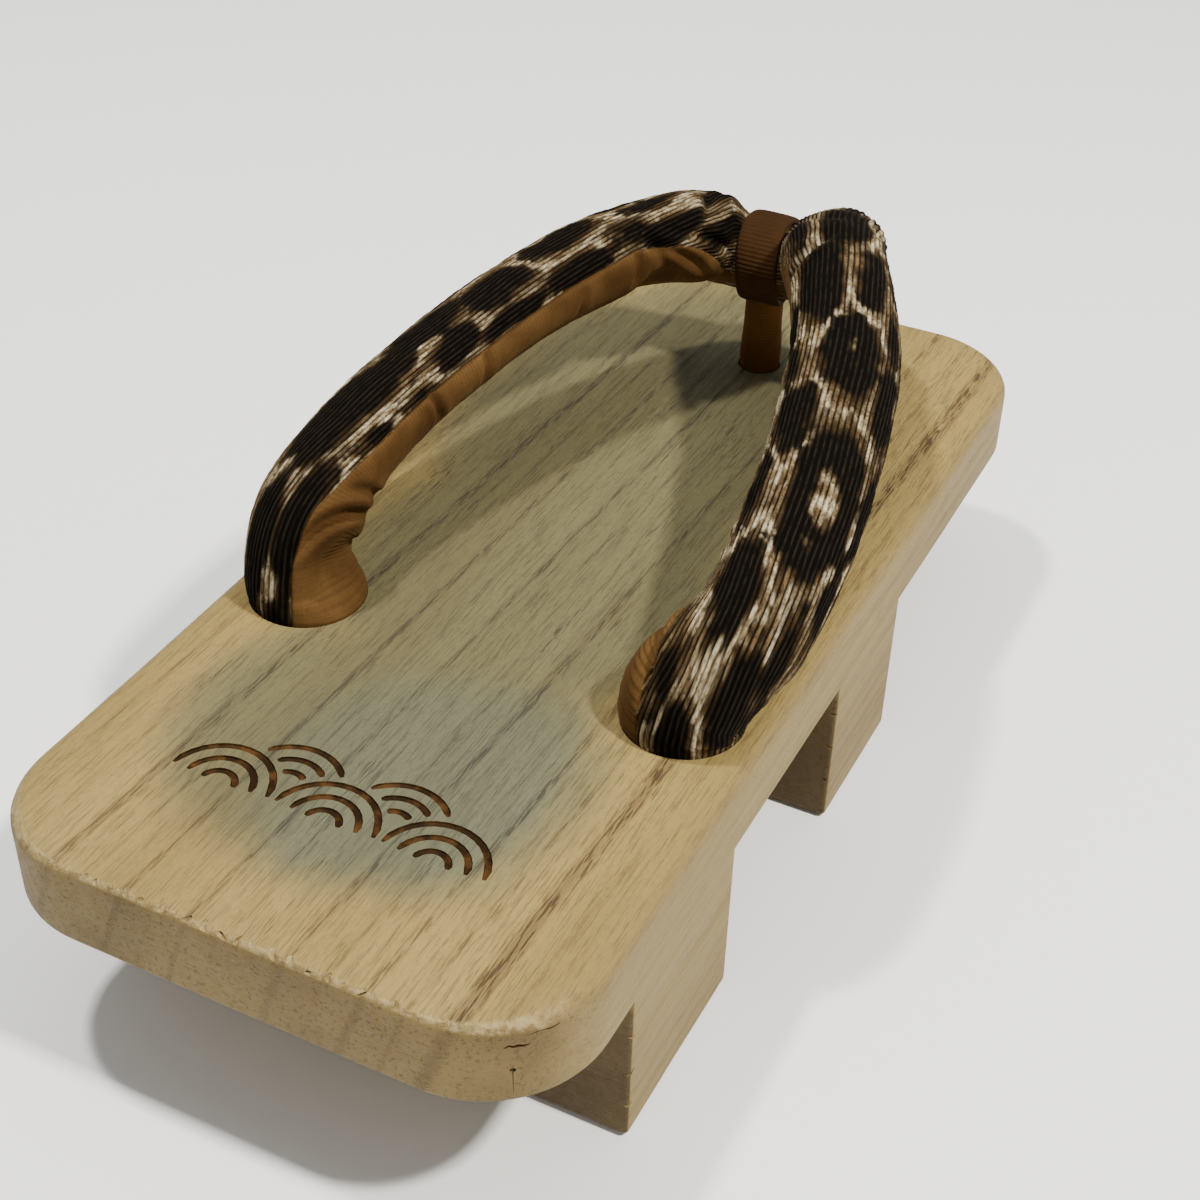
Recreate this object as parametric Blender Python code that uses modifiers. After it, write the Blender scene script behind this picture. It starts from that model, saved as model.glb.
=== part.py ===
"""A wooden geta sandal: a one-block sole with two teeth, a padded strap and a front thong.

Metres, +Z up, toe towards +Y. The origin is on the floor, under the middle of the sole.
"""
import math

import bmesh
import bpy
from mathutils import Matrix, Vector

# Sole block
LENGTH = 0.2450
HEEL_WIDTH = 0.1115
TOE_WIDTH = 0.1145
HEIGHT = 0.0515
BOARD_THICKNESS = 0.0172
CORNER_RADIUS = 0.0220
CORNER_STEPS = 10
SIDE_ROUNDING = 0.0035
END_ROUNDING = 0.0012
TOOTH_ROUNDING = 0.0020
ROUNDING_SEGMENTS = 4
REAR_TOOTH = (0.0313, 0.0727)       # start and end, measured from the heel end
FRONT_TOOTH = (0.1238, 0.1586)
CUT_MARGIN = 0.0100
BOARD_UNDERSIDE = HEIGHT - BOARD_THICKNESS

# Strap holes
REAR_HOLE_SPREAD = 0.0402           # each rear hole's distance from the centreline
REAR_HOLE_Y = -0.0397
FRONT_HOLE_X = 0.0020
FRONT_HOLE_Y = 0.0868
FRONT_HOLE_RADIUS = 0.0052
CORD_BORE_RADIUS = 0.0028
FIT_GAP = 0.0003
TURN_STEPS = 36

# Strap foot inside its hole: height over the board's top, radius
FOOT_PROFILE = (
    (-0.0118, 0.0040),
    (-0.0095, 0.0075),
    (-0.0060, 0.0100),
    (-0.0020, 0.0115),
    (0.0006, 0.0118),
)
FOOT_ROLL = 66.0                    # degrees, as in the table below

# Strap arm from its hole to the middle of the front, for the right arm.
# outward, forward, height over the board's top, half width, half thickness,
# facing (plan direction of the outer side, degrees), roll (outer side raised from up, degrees)
ARM_SECTIONS = (
    (0.0402, -0.0397, 0.0030, 0.0118, 0.0117, 0.0, 66.0),
    (0.0412, -0.0392, 0.0072, 0.0117, 0.0114, 2.0, 62.0),
    (0.0438, -0.0366, 0.0130, 0.0116, 0.0104, 6.0, 52.0),
    (0.0455, -0.0300, 0.0172, 0.0114, 0.0096, 12.0, 40.0),
    (0.0456, -0.0180, 0.0207, 0.0113, 0.0090, 14.0, 30.0),
    (0.0443, -0.0030, 0.0240, 0.0114, 0.0086, 15.0, 26.0),
    (0.0411, 0.0150, 0.0276, 0.0115, 0.0085, 18.0, 22.0),
    (0.0353, 0.0390, 0.0312, 0.0117, 0.0088, 24.0, 22.0),
    (0.0266, 0.0610, 0.0336, 0.0118, 0.0096, 32.0, 28.0),
    (0.0190, 0.0742, 0.0338, 0.0116, 0.0100, 40.0, 42.0),
    (0.0134, 0.0822, 0.0308, 0.0104, 0.0090, 58.0, 68.0),
    (0.0076, 0.0856, 0.0280, 0.0086, 0.0070, 82.0, 88.0),
    (0.0038, 0.0856, 0.0278, 0.0084, 0.0069, 88.0, 90.0),
)
STRAP_MIDDLE = (0.0, 0.0856, 0.0278, 0.0084, 0.0069, 90.0, 90.0)
STRAP_LEAN = 0.0026                 # the arms and their join lie this far to the right
LEAN_START = 0.0050                 # heights between which the lean sets in
LEAN_END = 0.0172
STRAP_RING_POINTS = 20
STRAP_STEPS = 3

# Front thong
BAND_WIDTH = 0.0100
BAND_THICKNESS = 0.0018
BAND_STEPS = 32
BAND_SECTION_POINTS = 12
BAND_WIDTH_POWER = 0.5              # under 1, so that the band's section is flat with round edges
BAND_THICKNESS_POWER = 0.6
# height over the board's top, half width across, half width along, share of the lean
STEM_SECTIONS = (
    (0.0182, 0.0046, 0.0036, 1.00),
    (0.0150, 0.0043, 0.0038, 0.95),
    (0.0090, 0.0043, 0.0042, 0.60),
    (0.0020, 0.0046, 0.0046, 0.15),
    (-0.0020, 0.0048, 0.0048, 0.00),
    (-0.0080, 0.0044, 0.0044, 0.00),
    (-0.0118, 0.0034, 0.0034, 0.00),
)
STEM_RING_POINTS = 18
STEM_STEPS = 2

# Tie cords and their overhand knots, under the board
CORD_RADIUS = 0.0014
CORD_SIDES_RESOLUTION = 2
CORD_TOP = -0.0122                  # upper end of each cord, over the board's top
CORD_CURVE_START = 0.0055           # where the cord leaves the straight, over the knot's middle
KNOT_SPREAD = 0.0023                # size of the knot's three loops
KNOT_DEPTH = 0.0030                 # half the height between crossing strands
KNOT_OPENING = 0.36                 # radians left open at the first loop, on each side
KNOT_ROWS = 12
KNOT_STEPS = 3
# free end of the cord, from the end of the knot: across, along, height
KNOT_TAIL = (
    (0.0006, -0.0022, -0.0006),
    (0.0008, -0.0046, -0.0018),
    (0.0010, -0.0066, -0.0036),
)

# Finishes: colour, roughness, metallic
FINISHES = {
    "paulownia_wood": ((0.62, 0.52, 0.33), 0.62, 0.0),
    "leopard_corduroy": ((0.10, 0.07, 0.05), 0.88, 0.0),
    "brown_velvet": ((0.27, 0.12, 0.04), 0.85, 0.0),
    "tie_cord": ((0.45, 0.37, 0.24), 0.80, 0.0),
}


def clear_scene():
    """Remove what the scene holds."""
    for item in list(bpy.data.objects):
        bpy.data.objects.remove(item, do_unlink=True)


def new_collection(name):
    """Add a collection to the scene."""
    group = bpy.data.collections.new(name)
    bpy.context.scene.collection.children.link(group)
    return group


def finish(name):
    """Return the material of a finish, made once."""
    found = bpy.data.materials.get(name)
    if found:
        return found
    colour, roughness, metallic = FINISHES[name]
    material = bpy.data.materials.new(name)
    material.use_nodes = True
    shader = material.node_tree.nodes["Principled BSDF"]
    shader.inputs["Base Color"].default_value = (*colour, 1.0)
    shader.inputs["Roughness"].default_value = roughness
    shader.inputs["Metallic"].default_value = metallic
    material.diffuse_color = (*colour, 1.0)
    return material


def add_object(name, data, group):
    """Link a mesh or curve to a collection as a new object."""
    item = bpy.data.objects.new(name, data)
    group.objects.link(item)
    return item


def hide_cutter(item):
    """Show a cutter as a wire and leave it out of the model."""
    item.hide_render = True
    item.display_type = "WIRE"
    return item


def evaluated_mesh(item, name):
    """Copy an object's evaluated mesh, with its loose caps welded."""
    bpy.context.view_layer.update()
    graph = bpy.context.evaluated_depsgraph_get()
    mesh = bpy.data.meshes.new_from_object(item.evaluated_get(graph))
    mesh.name = name
    work = bmesh.new()
    work.from_mesh(mesh)
    bmesh.ops.remove_doubles(work, verts=work.verts, dist=1e-6)
    bmesh.ops.recalc_face_normals(work, faces=work.faces)
    work.to_mesh(mesh)
    work.free()
    return mesh


def shade(mesh, angle=40.0):
    """Shade a mesh smooth, with its hard edges kept."""
    mesh.shade_smooth()
    mesh.set_sharp_from_angle(angle=math.radians(angle))


def flat_prism(name, outline, half_depth, rotation, location, group):
    """Extrude a flat outline to both sides, as a welded mesh object."""
    curve = bpy.data.curves.new(name, "CURVE")
    curve.dimensions = "2D"
    curve.fill_mode = "BOTH"
    curve.extrude = half_depth
    spline = curve.splines.new("POLY")
    spline.points.add(len(outline) - 1)
    for point, (across, along) in zip(spline.points, outline):
        point.co = (across, along, 0.0, 1.0)
    spline.use_cyclic_u = True
    guide = add_object(name + "_outline", curve, group)
    prism = add_object(name, evaluated_mesh(guide, name), group)
    bpy.data.objects.remove(guide, do_unlink=True)
    prism.rotation_euler = rotation
    prism.location = location
    return prism


def boolean(item, cutter, operation):
    """Cut or join an object with another."""
    modifier = item.modifiers.new(operation.title(), "BOOLEAN")
    modifier.operation = operation
    modifier.solver = "EXACT"
    modifier.object = cutter
    return modifier


def rounded_corner(corner, before, after, radius, steps):
    """Points of the arc that rounds a corner between its two neighbours."""
    to_before = (Vector(before) - Vector(corner)).normalized()
    to_after = (Vector(after) - Vector(corner)).normalized()
    half_angle = to_before.angle(to_after) / 2.0
    reach = radius / math.tan(half_angle)
    middle = (to_before + to_after).normalized()
    centre = Vector(corner) + middle * (radius / math.sin(half_angle))
    first = Vector(corner) + to_before * reach - centre
    last = Vector(corner) + to_after * reach - centre
    sweep = first.angle_signed(last)
    points = []
    for step in range(steps + 1):
        turn = -sweep * step / steps
        across = first.x * math.cos(turn) - first.y * math.sin(turn)
        along = first.x * math.sin(turn) + first.y * math.cos(turn)
        points.append((centre.x + across, centre.y + along))
    return points


def plan_outline():
    """The sole seen from above: a block with rounded corners, a little wider at the toe."""
    corners = (
        (-HEEL_WIDTH / 2, -LENGTH / 2),
        (HEEL_WIDTH / 2, -LENGTH / 2),
        (TOE_WIDTH / 2, LENGTH / 2),
        (-TOE_WIDTH / 2, LENGTH / 2),
    )
    outline = []
    for index, corner in enumerate(corners):
        before = corners[index - 1]
        after = corners[(index + 1) % len(corners)]
        outline += rounded_corner(corner, before, after, CORNER_RADIUS, CORNER_STEPS)
    return outline


def side_outline():
    """The sole seen from its side: the board with its two teeth."""
    heel = -LENGTH / 2 - CUT_MARGIN
    toe = LENGTH / 2 + CUT_MARGIN
    outline = [(toe, BOARD_UNDERSIDE), (toe, HEIGHT), (heel, HEIGHT), (heel, BOARD_UNDERSIDE)]
    for start, end in (REAR_TOOTH, FRONT_TOOTH):
        start_y = start - LENGTH / 2
        end_y = end - LENGTH / 2
        outline += [(start_y, BOARD_UNDERSIDE), (start_y, 0.0), (end_y, 0.0), (end_y, BOARD_UNDERSIDE)]
    return outline


def mark_roundings(mesh):
    """Weight the top outline and the feet of the teeth for the bevel."""
    work = bmesh.new()
    work.from_mesh(mesh)
    weight = work.edges.layers.float.new("bevel_weight_edge")
    for edge in work.edges:
        low, high = edge.verts
        run = high.co - low.co
        if abs(run.z) > 1e-5:
            continue
        if abs(low.co.z - HEIGHT) < 1e-5:
            share = abs(run.y) / run.length
            end_share = END_ROUNDING / SIDE_ROUNDING
            edge[weight] = end_share + (1.0 - end_share) * share
        elif abs(low.co.z) < 1e-5:
            edge[weight] = TOOTH_ROUNDING / SIDE_ROUNDING
    work.to_mesh(mesh)
    work.free()


def turned_cutter(name, profile, location, group):
    """Turn a profile of (radius, height) rows, read from the top down, about a vertical axis."""
    mesh = bpy.data.meshes.new(name)
    points = [(radius, 0.0, height) for radius, height in profile]
    edges = [(index, index + 1) for index in range(len(points) - 1)]
    mesh.from_pydata(points, edges, [])
    cutter = add_object(name, mesh, group)
    screw = cutter.modifiers.new("Turn", "SCREW")
    screw.steps = TURN_STEPS
    screw.render_steps = TURN_STEPS
    screw.use_merge_vertices = True
    screw.merge_threshold = 0.00001
    screw.use_smooth_shade = True
    cutter.location = location
    return hide_cutter(cutter)


def rear_hole_profile():
    """A bowl that the strap's foot sits in, with a narrow bore for its cord below."""
    rows = [(radius + FIT_GAP, height) for height, radius in reversed(FOOT_PROFILE)]
    mouth = rows[0][0]
    bottom = -BOARD_THICKNESS - CUT_MARGIN
    floor = FOOT_PROFILE[0][0] - 2 * FIT_GAP
    return [(0.0, CUT_MARGIN), (mouth, CUT_MARGIN)] + rows + [
        (CORD_BORE_RADIUS, floor), (CORD_BORE_RADIUS, bottom), (0.0, bottom)]


def front_hole_profile():
    """A straight bore for the thong's stem."""
    bottom = -BOARD_THICKNESS - CUT_MARGIN
    return [(0.0, CUT_MARGIN), (FRONT_HOLE_RADIUS, CUT_MARGIN), (FRONT_HOLE_RADIUS, bottom), (0.0, bottom)]


def make_sole(parts, cutters):
    """Carve board and teeth from one block, then bore the three strap holes."""
    upright = (math.radians(90.0), 0.0, math.radians(90.0))
    widest = max(HEEL_WIDTH, TOE_WIDTH)
    block = flat_prism("block_side", side_outline(), widest, upright, (0.0, 0.0, 0.0), cutters)
    level = (0.0, 0.0, 0.0)
    middle = (0.0, 0.0, HEIGHT / 2)
    plan = flat_prism("block_plan", plan_outline(), HEIGHT, level, middle, cutters)
    boolean(plan, block, "INTERSECT")
    mesh = evaluated_mesh(plan, "dai_sole")
    for used in (block, plan):
        bpy.data.objects.remove(used, do_unlink=True)
    mesh.transform(Matrix.Translation((0.0, 0.0, HEIGHT / 2)))
    mark_roundings(mesh)
    sole = add_object("dai_sole", mesh, parts)
    bevel = sole.modifiers.new("Rounded edges", "BEVEL")
    bevel.limit_method = "WEIGHT"
    bevel.width = SIDE_ROUNDING
    bevel.segments = ROUNDING_SEGMENTS
    holes = [
        ("rear_hole_right", rear_hole_profile(), (REAR_HOLE_SPREAD, REAR_HOLE_Y, HEIGHT)),
        ("rear_hole_left", rear_hole_profile(), (-REAR_HOLE_SPREAD, REAR_HOLE_Y, HEIGHT)),
        ("front_hole", front_hole_profile(), (FRONT_HOLE_X, FRONT_HOLE_Y, HEIGHT)),
    ]
    for name, profile, location in holes:
        boolean(sole, turned_cutter(name, profile, location, cutters), "DIFFERENCE")
    shade(mesh, 30.0)
    mesh.materials.append(finish("paulownia_wood"))
    return sole


def smooth_rows(rows, steps):
    """Read extra rows off a smooth curve through the given ones, by chord length."""
    places = [0.0]
    for row, following in zip(rows, rows[1:]):
        places.append(places[-1] + (Vector(following[:3]) - Vector(row[:3])).length)
    slopes = []
    last = len(rows) - 1
    for index in range(len(rows)):
        low = max(index - 1, 0)
        high = min(index + 1, last)
        span = places[high] - places[low]
        slopes.append([(b - a) / span for a, b in zip(rows[low], rows[high])])
    result = []
    for index in range(last):
        span = places[index + 1] - places[index]
        for step in range(steps):
            t = step / steps
            ease = t * t * (3.0 - 2.0 * t)
            out_slope = t * (1.0 - t) ** 2 * span
            in_slope = -t * t * (1.0 - t) * span
            result.append([
                a + (b - a) * ease + out_slope * m + in_slope * n
                for a, b, m, n in zip(rows[index], rows[index + 1], slopes[index], slopes[index + 1])
            ])
    result.append(list(rows[-1]))
    return result


def strap_rows():
    """Rows of the whole strap, from the right foot over the front to the left foot."""
    foot = [(REAR_HOLE_SPREAD, REAR_HOLE_Y, height, radius, radius, 0.0, FOOT_ROLL)
            for height, radius in FOOT_PROFILE]
    arm = foot + list(ARM_SECTIONS)
    rows = []
    for outward, forward, height, half_width, half_thickness, facing, roll in arm:
        share = (height - LEAN_START) / (LEAN_END - LEAN_START)
        lean = STRAP_LEAN * max(0.0, min(1.0, share))
        rows.append([outward, forward, height, half_width, half_thickness, facing, roll, lean])
    middle = [*STRAP_MIDDLE, STRAP_LEAN]
    left = []
    for row in reversed(rows):
        mirrored = list(row)
        mirrored[0] = -row[0]
        mirrored[5] = 180.0 - row[5]
        left.append(mirrored)
    smooth = smooth_rows(rows + [middle] + left, STRAP_STEPS)
    for row in smooth:
        row[0] += row[7]
        row[2] += HEIGHT
    return smooth


def strap_rings(rows):
    """Turn each row into a ring of points square to the strap's path."""
    centres = [Vector(row[:3]) for row in rows]
    rings = []
    for index, row in enumerate(rows):
        ahead = centres[min(index + 1, len(rows) - 1)]
        behind = centres[max(index - 1, 0)]
        along = (ahead - behind).normalized()
        facing = math.radians(row[5])
        outer = Vector((math.cos(facing), math.sin(facing), 0.0))
        outer = (outer - along * outer.dot(along)).normalized()
        upper = outer.cross(along)
        roll = math.radians(row[6])
        face = upper * math.cos(roll) + outer * math.sin(roll)
        width = along.cross(face)
        ring = []
        for point in range(STRAP_RING_POINTS):
            angle = 2.0 * math.pi * point / STRAP_RING_POINTS
            across = width * (row[3] * math.cos(angle))
            lift = face * (row[4] * math.sin(angle))
            ring.append(centres[index] + across + lift)
        rings.append(ring)
    return rings


def loft(name, rings, group, closed=False):
    """Skin a row of rings with quads, capped at both ends unless the row closes on itself."""
    size = len(rings[0])
    work = bmesh.new()
    loops = [[work.verts.new(point) for point in ring] for ring in rings]
    pairs = list(zip(loops, loops[1:]))
    if closed:
        pairs.append((loops[-1], loops[0]))
    for ring, following in pairs:
        for point in range(size):
            beside = (point + 1) % size
            work.faces.new((ring[point], ring[beside], following[beside], following[point]))
    if not closed:
        work.faces.new(list(reversed(loops[0])))
        work.faces.new(loops[-1])
    bmesh.ops.recalc_face_normals(work, faces=work.faces)
    mesh = bpy.data.meshes.new(name)
    work.to_mesh(mesh)
    work.free()
    shade(mesh, 50.0)
    return add_object(name, mesh, group)


def make_strap(parts):
    """The padded strap: two arms in one solid, narrowed where the thong holds them."""
    strap = loft("strap_upper", strap_rings(strap_rows()), parts)
    strap.data.materials.append(finish("leopard_corduroy"))
    return strap


def rounded(value, power):
    """Raise a share to a power and keep its sign."""
    return math.copysign(abs(value) ** power, value)


def band_rings():
    """Flat rounded sections of the thong's band, once round the strap's middle."""
    centre = Vector((STRAP_LEAN, STRAP_MIDDLE[1], HEIGHT + STRAP_MIDDLE[2]))
    middle = FIT_GAP + BAND_THICKNESS / 2
    rings = []
    for step in range(BAND_STEPS):
        turn = 2.0 * math.pi * step / BAND_STEPS
        outward = Vector((0.0, math.cos(turn), math.sin(turn)))
        along_reach = (STRAP_MIDDLE[4] + middle) * outward.y
        height_reach = (STRAP_MIDDLE[3] + middle) * outward.z
        place = centre + Vector((0.0, along_reach, height_reach))
        ring = []
        for point in range(BAND_SECTION_POINTS):
            angle = 2.0 * math.pi * point / BAND_SECTION_POINTS
            across = rounded(math.cos(angle), BAND_WIDTH_POWER) * BAND_WIDTH / 2
            lift = rounded(math.sin(angle), BAND_THICKNESS_POWER) * BAND_THICKNESS / 2
            ring.append(place + Vector((across, 0.0, 0.0)) + outward * lift)
        rings.append(ring)
    return rings


def stem_rings():
    """Oval sections of the thong's stem, from the band down into the front hole."""
    rows = []
    for height, across, along, lean in STEM_SECTIONS:
        place_x = FRONT_HOLE_X + (STRAP_LEAN - FRONT_HOLE_X) * lean
        place_y = FRONT_HOLE_Y + (STRAP_MIDDLE[1] - FRONT_HOLE_Y) * lean
        rows.append((place_x, place_y, HEIGHT + height, across, along))
    rings = []
    for place_x, place_y, place_z, across, along in smooth_rows(rows, STEM_STEPS):
        ring = []
        for point in range(STEM_RING_POINTS):
            angle = 2.0 * math.pi * point / STEM_RING_POINTS
            point_x = place_x + across * math.cos(angle)
            point_y = place_y + along * math.sin(angle)
            ring.append(Vector((point_x, point_y, place_z)))
        rings.append(ring)
    return rings


def make_thong(parts, cutters):
    """The brown band round the join of the arms, in one solid with its stem."""
    band = loft("front_thong", band_rings(), parts, closed=True)
    stem = hide_cutter(loft("thong_stem", stem_rings(), cutters))
    boolean(band, stem, "UNION")
    band.data.materials.append(finish("brown_velvet"))
    return band


def knot_route(side):
    """Points of a cord that drops through its hole and is tied in an overhand knot."""
    level = -BOARD_THICKNESS - FIT_GAP - KNOT_DEPTH - CORD_RADIUS
    loops = []
    for index in range(KNOT_ROWS + 1):
        turn = math.pi + KNOT_OPENING + 2.0 * (math.pi - KNOT_OPENING) * index / KNOT_ROWS
        loops.append(Vector((
            KNOT_SPREAD * (math.sin(turn) + 2.0 * math.sin(2.0 * turn)),
            KNOT_SPREAD * (math.cos(turn) - 2.0 * math.cos(2.0 * turn)),
            level - KNOT_DEPTH * math.sin(3.0 * turn),
        )))
    under_hole = Vector((loops[0].x, loops[0].y, 0.0))
    loops = [point - under_hole for point in loops]
    drop = [Vector((0.0, 0.0, CORD_TOP)), Vector((0.0, 0.0, level + CORD_CURVE_START))]
    tail = [loops[-1] + Vector(step) for step in KNOT_TAIL]
    rows = [tuple(point) for point in drop + loops[1:] + tail]
    return [Vector((side * row[0], row[1], row[2])) for row in smooth_rows(rows, KNOT_STEPS)]


def make_knot(name, location, side, parts):
    """A tie cord with its knot, as a tube."""
    curve = bpy.data.curves.new(name, "CURVE")
    curve.dimensions = "3D"
    curve.bevel_depth = CORD_RADIUS
    curve.bevel_resolution = CORD_SIDES_RESOLUTION
    curve.use_fill_caps = True
    spline = curve.splines.new("POLY")
    route = knot_route(side)
    spline.points.add(len(route) - 1)
    for point, place in zip(spline.points, route):
        point.co = (*place, 1.0)
    knot = add_object(name, curve, parts)
    knot.location = location
    curve.materials.append(finish("tie_cord"))
    return knot


def build():
    """Make every piece of the sandal."""
    clear_scene()
    parts = new_collection("geta_sandal")
    cutters = new_collection("cutters")
    make_sole(parts, cutters)
    make_strap(parts)
    make_thong(parts, cutters)
    make_knot("front_knot", (FRONT_HOLE_X, FRONT_HOLE_Y, HEIGHT), 1, parts)
    make_knot("rear_knot_right", (REAR_HOLE_SPREAD, REAR_HOLE_Y, HEIGHT), -1, parts)
    make_knot("rear_knot_left", (-REAR_HOLE_SPREAD, REAR_HOLE_Y, HEIGHT), 1, parts)


build()
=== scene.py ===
"""Looks of the geta sandal: a planed paulownia sole with a burnt wave mark, a padded strap
in leopard corduroy with a velvet lining, a velvet thong and twisted tie cords."""

import math

import bpy
import numpy as np
from mathutils import Matrix, Vector


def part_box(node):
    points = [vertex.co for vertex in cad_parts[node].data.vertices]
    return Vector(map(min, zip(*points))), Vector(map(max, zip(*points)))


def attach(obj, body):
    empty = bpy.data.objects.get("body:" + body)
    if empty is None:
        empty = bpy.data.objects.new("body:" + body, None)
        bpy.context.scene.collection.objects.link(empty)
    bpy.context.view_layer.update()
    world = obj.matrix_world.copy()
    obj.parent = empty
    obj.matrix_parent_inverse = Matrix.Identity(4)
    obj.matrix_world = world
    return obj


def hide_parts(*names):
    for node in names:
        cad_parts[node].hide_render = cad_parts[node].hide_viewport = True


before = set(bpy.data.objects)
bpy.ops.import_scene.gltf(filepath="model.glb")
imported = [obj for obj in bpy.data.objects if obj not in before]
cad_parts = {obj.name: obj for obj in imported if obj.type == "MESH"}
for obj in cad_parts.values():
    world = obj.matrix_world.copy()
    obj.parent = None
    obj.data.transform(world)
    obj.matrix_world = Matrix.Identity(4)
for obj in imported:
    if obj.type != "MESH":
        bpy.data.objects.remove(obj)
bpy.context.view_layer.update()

MM = 0.001

# The sole, as in its solid
sole_low, sole_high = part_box("dai_sole")
HEIGHT = sole_high.z
LENGTH = sole_high.y - sole_low.y
TOE_WIDTH = 0.1145
HEEL_WIDTH = 0.1115
BOARD_THICKNESS = 0.0172
BOARD_UNDERSIDE = HEIGHT - BOARD_THICKNESS
CORNER_RADIUS = 0.0220
CORNER_SEGMENTS = 18
REAR_TOOTH = (-0.0912, -0.0498)     # back and front of each tooth
FRONT_TOOTH = (0.0013, 0.0361)
SIDE_ROUNDING = 0.0036
END_ROUNDING = 0.0013
TOOTH_FOOT_ROUNDING = 0.0020
UNDERSIDE_ROUNDING = 0.0010
TOOTH_CORNER_ROUNDING = 0.0006
ROUNDING_SEGMENTS = 6
PLANING_STEP_ALONG = 0.0085
PLANING_STEP_ACROSS = 0.0125
PLANING_WAVE = 0.00035
TOOTH_FOOT_FLAT = 0.0002            # the teeth's feet are level up to this height

# Stain on the foot bed, whose front ovals also hold painted shade from the strap's arms: centre and reach of each
# oval, and of the bluest one
STAIN_AND_SHADE_PATCHES = (
    ((-0.002, -0.070), (0.042, 0.040)),
    ((-0.006, -0.010), (0.040, 0.060)),
    ((-0.010, 0.055), (0.046, 0.074)),
)
BLUE_PATCH = ((0.008, -0.078), (0.032, 0.034))

# Growth lines of the wood, which run the length of the board: place across at the heel,
# half breadth, and depth of colour from 0 to 1
GROWTH_LINES = (
    (-0.0510, 0.0006, 0.35),
    (-0.0432, 0.0004, 0.20),
    (-0.0355, 0.0009, 0.75),
    (-0.0288, 0.0004, 0.25),
    (-0.0215, 0.0007, 0.65),
    (-0.0150, 0.0004, 0.22),
    (-0.0085, 0.0006, 0.60),
    (-0.0020, 0.0004, 0.24),
    (0.0045, 0.0004, 0.20),
    (0.0105, 0.0008, 0.65),
    (0.0180, 0.0004, 0.22),
    (0.0250, 0.0008, 0.70),
    (0.0325, 0.0005, 0.45),
    (0.0400, 0.0014, 1.00),
    (0.0465, 0.0005, 0.30),
    (0.0530, 0.0005, 0.30),
)
GROWTH_LEAN = 0.042                 # sideways run of the lines, per length of the board
GROWTH_SLOPE = 0.35                 # sideways run of the lines, per depth into the board
GROWTH_DRIFT = 0.0032

# Strap holes
REAR_HOLE_SPREAD = 0.0402
REAR_HOLE_Y = -0.0397
FRONT_HOLE_X = 0.0020
FRONT_HOLE_Y = 0.0868
FRONT_HOLE_RADIUS = 0.0049
CORD_BORE_RADIUS = 0.0028
HOLE_MARGIN = 0.0010
CHIPS = 26
TOOTH_NICKS = 12

# Strap foot in its hole: height over the board, radius
FOOT_PROFILE = (
    (-0.0118, 0.0040),
    (-0.0095, 0.0075),
    (-0.0060, 0.0100),
    (-0.0020, 0.0115),
    (0.0006, 0.0118),
)
FOOT_ROLL = 66.0
FOOT_GAP = 0.0001

# Strap arm from its hole to the front: outward, forward, height over the board,
# half width, half thickness, facing and roll in degrees
ARM_SECTIONS = (
    (0.0402, -0.0397, 0.0030, 0.0118, 0.0117, 0.0, 66.0),
    (0.0412, -0.0392, 0.0072, 0.0117, 0.0114, 2.0, 62.0),
    (0.0438, -0.0366, 0.0130, 0.0116, 0.0104, 6.0, 52.0),
    (0.0455, -0.0300, 0.0172, 0.0114, 0.0096, 12.0, 40.0),
    (0.0456, -0.0180, 0.0207, 0.0113, 0.0090, 14.0, 30.0),
    (0.0443, -0.0030, 0.0240, 0.0114, 0.0086, 15.0, 26.0),
    (0.0411, 0.0150, 0.0276, 0.0115, 0.0085, 18.0, 22.0),
    (0.0353, 0.0390, 0.0312, 0.0117, 0.0088, 24.0, 22.0),
    (0.0266, 0.0610, 0.0336, 0.0118, 0.0096, 32.0, 28.0),
    (0.0190, 0.0742, 0.0338, 0.0116, 0.0100, 40.0, 42.0),
    (0.0134, 0.0822, 0.0308, 0.0104, 0.0090, 58.0, 68.0),
    (0.0076, 0.0856, 0.0280, 0.0086, 0.0070, 82.0, 88.0),
    (0.0038, 0.0856, 0.0278, 0.0084, 0.0069, 88.0, 90.0),
)
STRAP_MIDDLE = (0.0, 0.0856, 0.0278, 0.0084, 0.0069, 90.0, 90.0)
STRAP_LEAN = 0.0026
LEAN_START = 0.0050
LEAN_END = 0.0172
SECTION_STEPS = 12

# Corduroy cover and lining
RIBS = 60
POINTS_PER_RIB = 4
RIB_RELIEF = 0.00034
DEGREE_SPAN = 0.18                  # mm of cloth per degree round the strap
COVER_ROWS = 405
LINING_ROWS = 1300
LINING_COLUMNS = 44
LINING_RIB_PITCH = 0.00088
LINING_RIB_RELIEF = 0.00009
LINING_RISE = 0.00075
LINING_SINK = 0.0009
LINING_DEPTH = 0.0016
FOOT_RIBS = 0.9                     # how much bolder the lining's ribs are at the feet

# Seams between cover and lining: place along the strap in mm, inner seam and outer seam in degrees
# round the section, counted from the outer edge over the top
SEAMS = (
    (0.0, 172.0, 318.0),
    (14.0, 175.0, 320.0),
    (24.0, 202.0, 328.0),
    (40.0, 212.0, 335.0),
    (60.0, 206.0, 338.0),
    (130.0, 197.0, 338.0),
    (150.0, 218.0, 334.0),
    (163.0, 280.0, 318.0),
    (171.0, 296.0, 304.0),
    (179.0, 284.0, 318.0),
    (187.0, 252.0, 330.0),
    (200.0, 206.0, 336.0),
    (214.0, 180.0, 338.0),
    (240.0, 178.0, 338.0),
    (290.0, 180.0, 336.0),
    (308.0, 184.0, 330.0),
    (320.0, 172.0, 318.0),
    (341.0, 172.0, 318.0),
)

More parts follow.
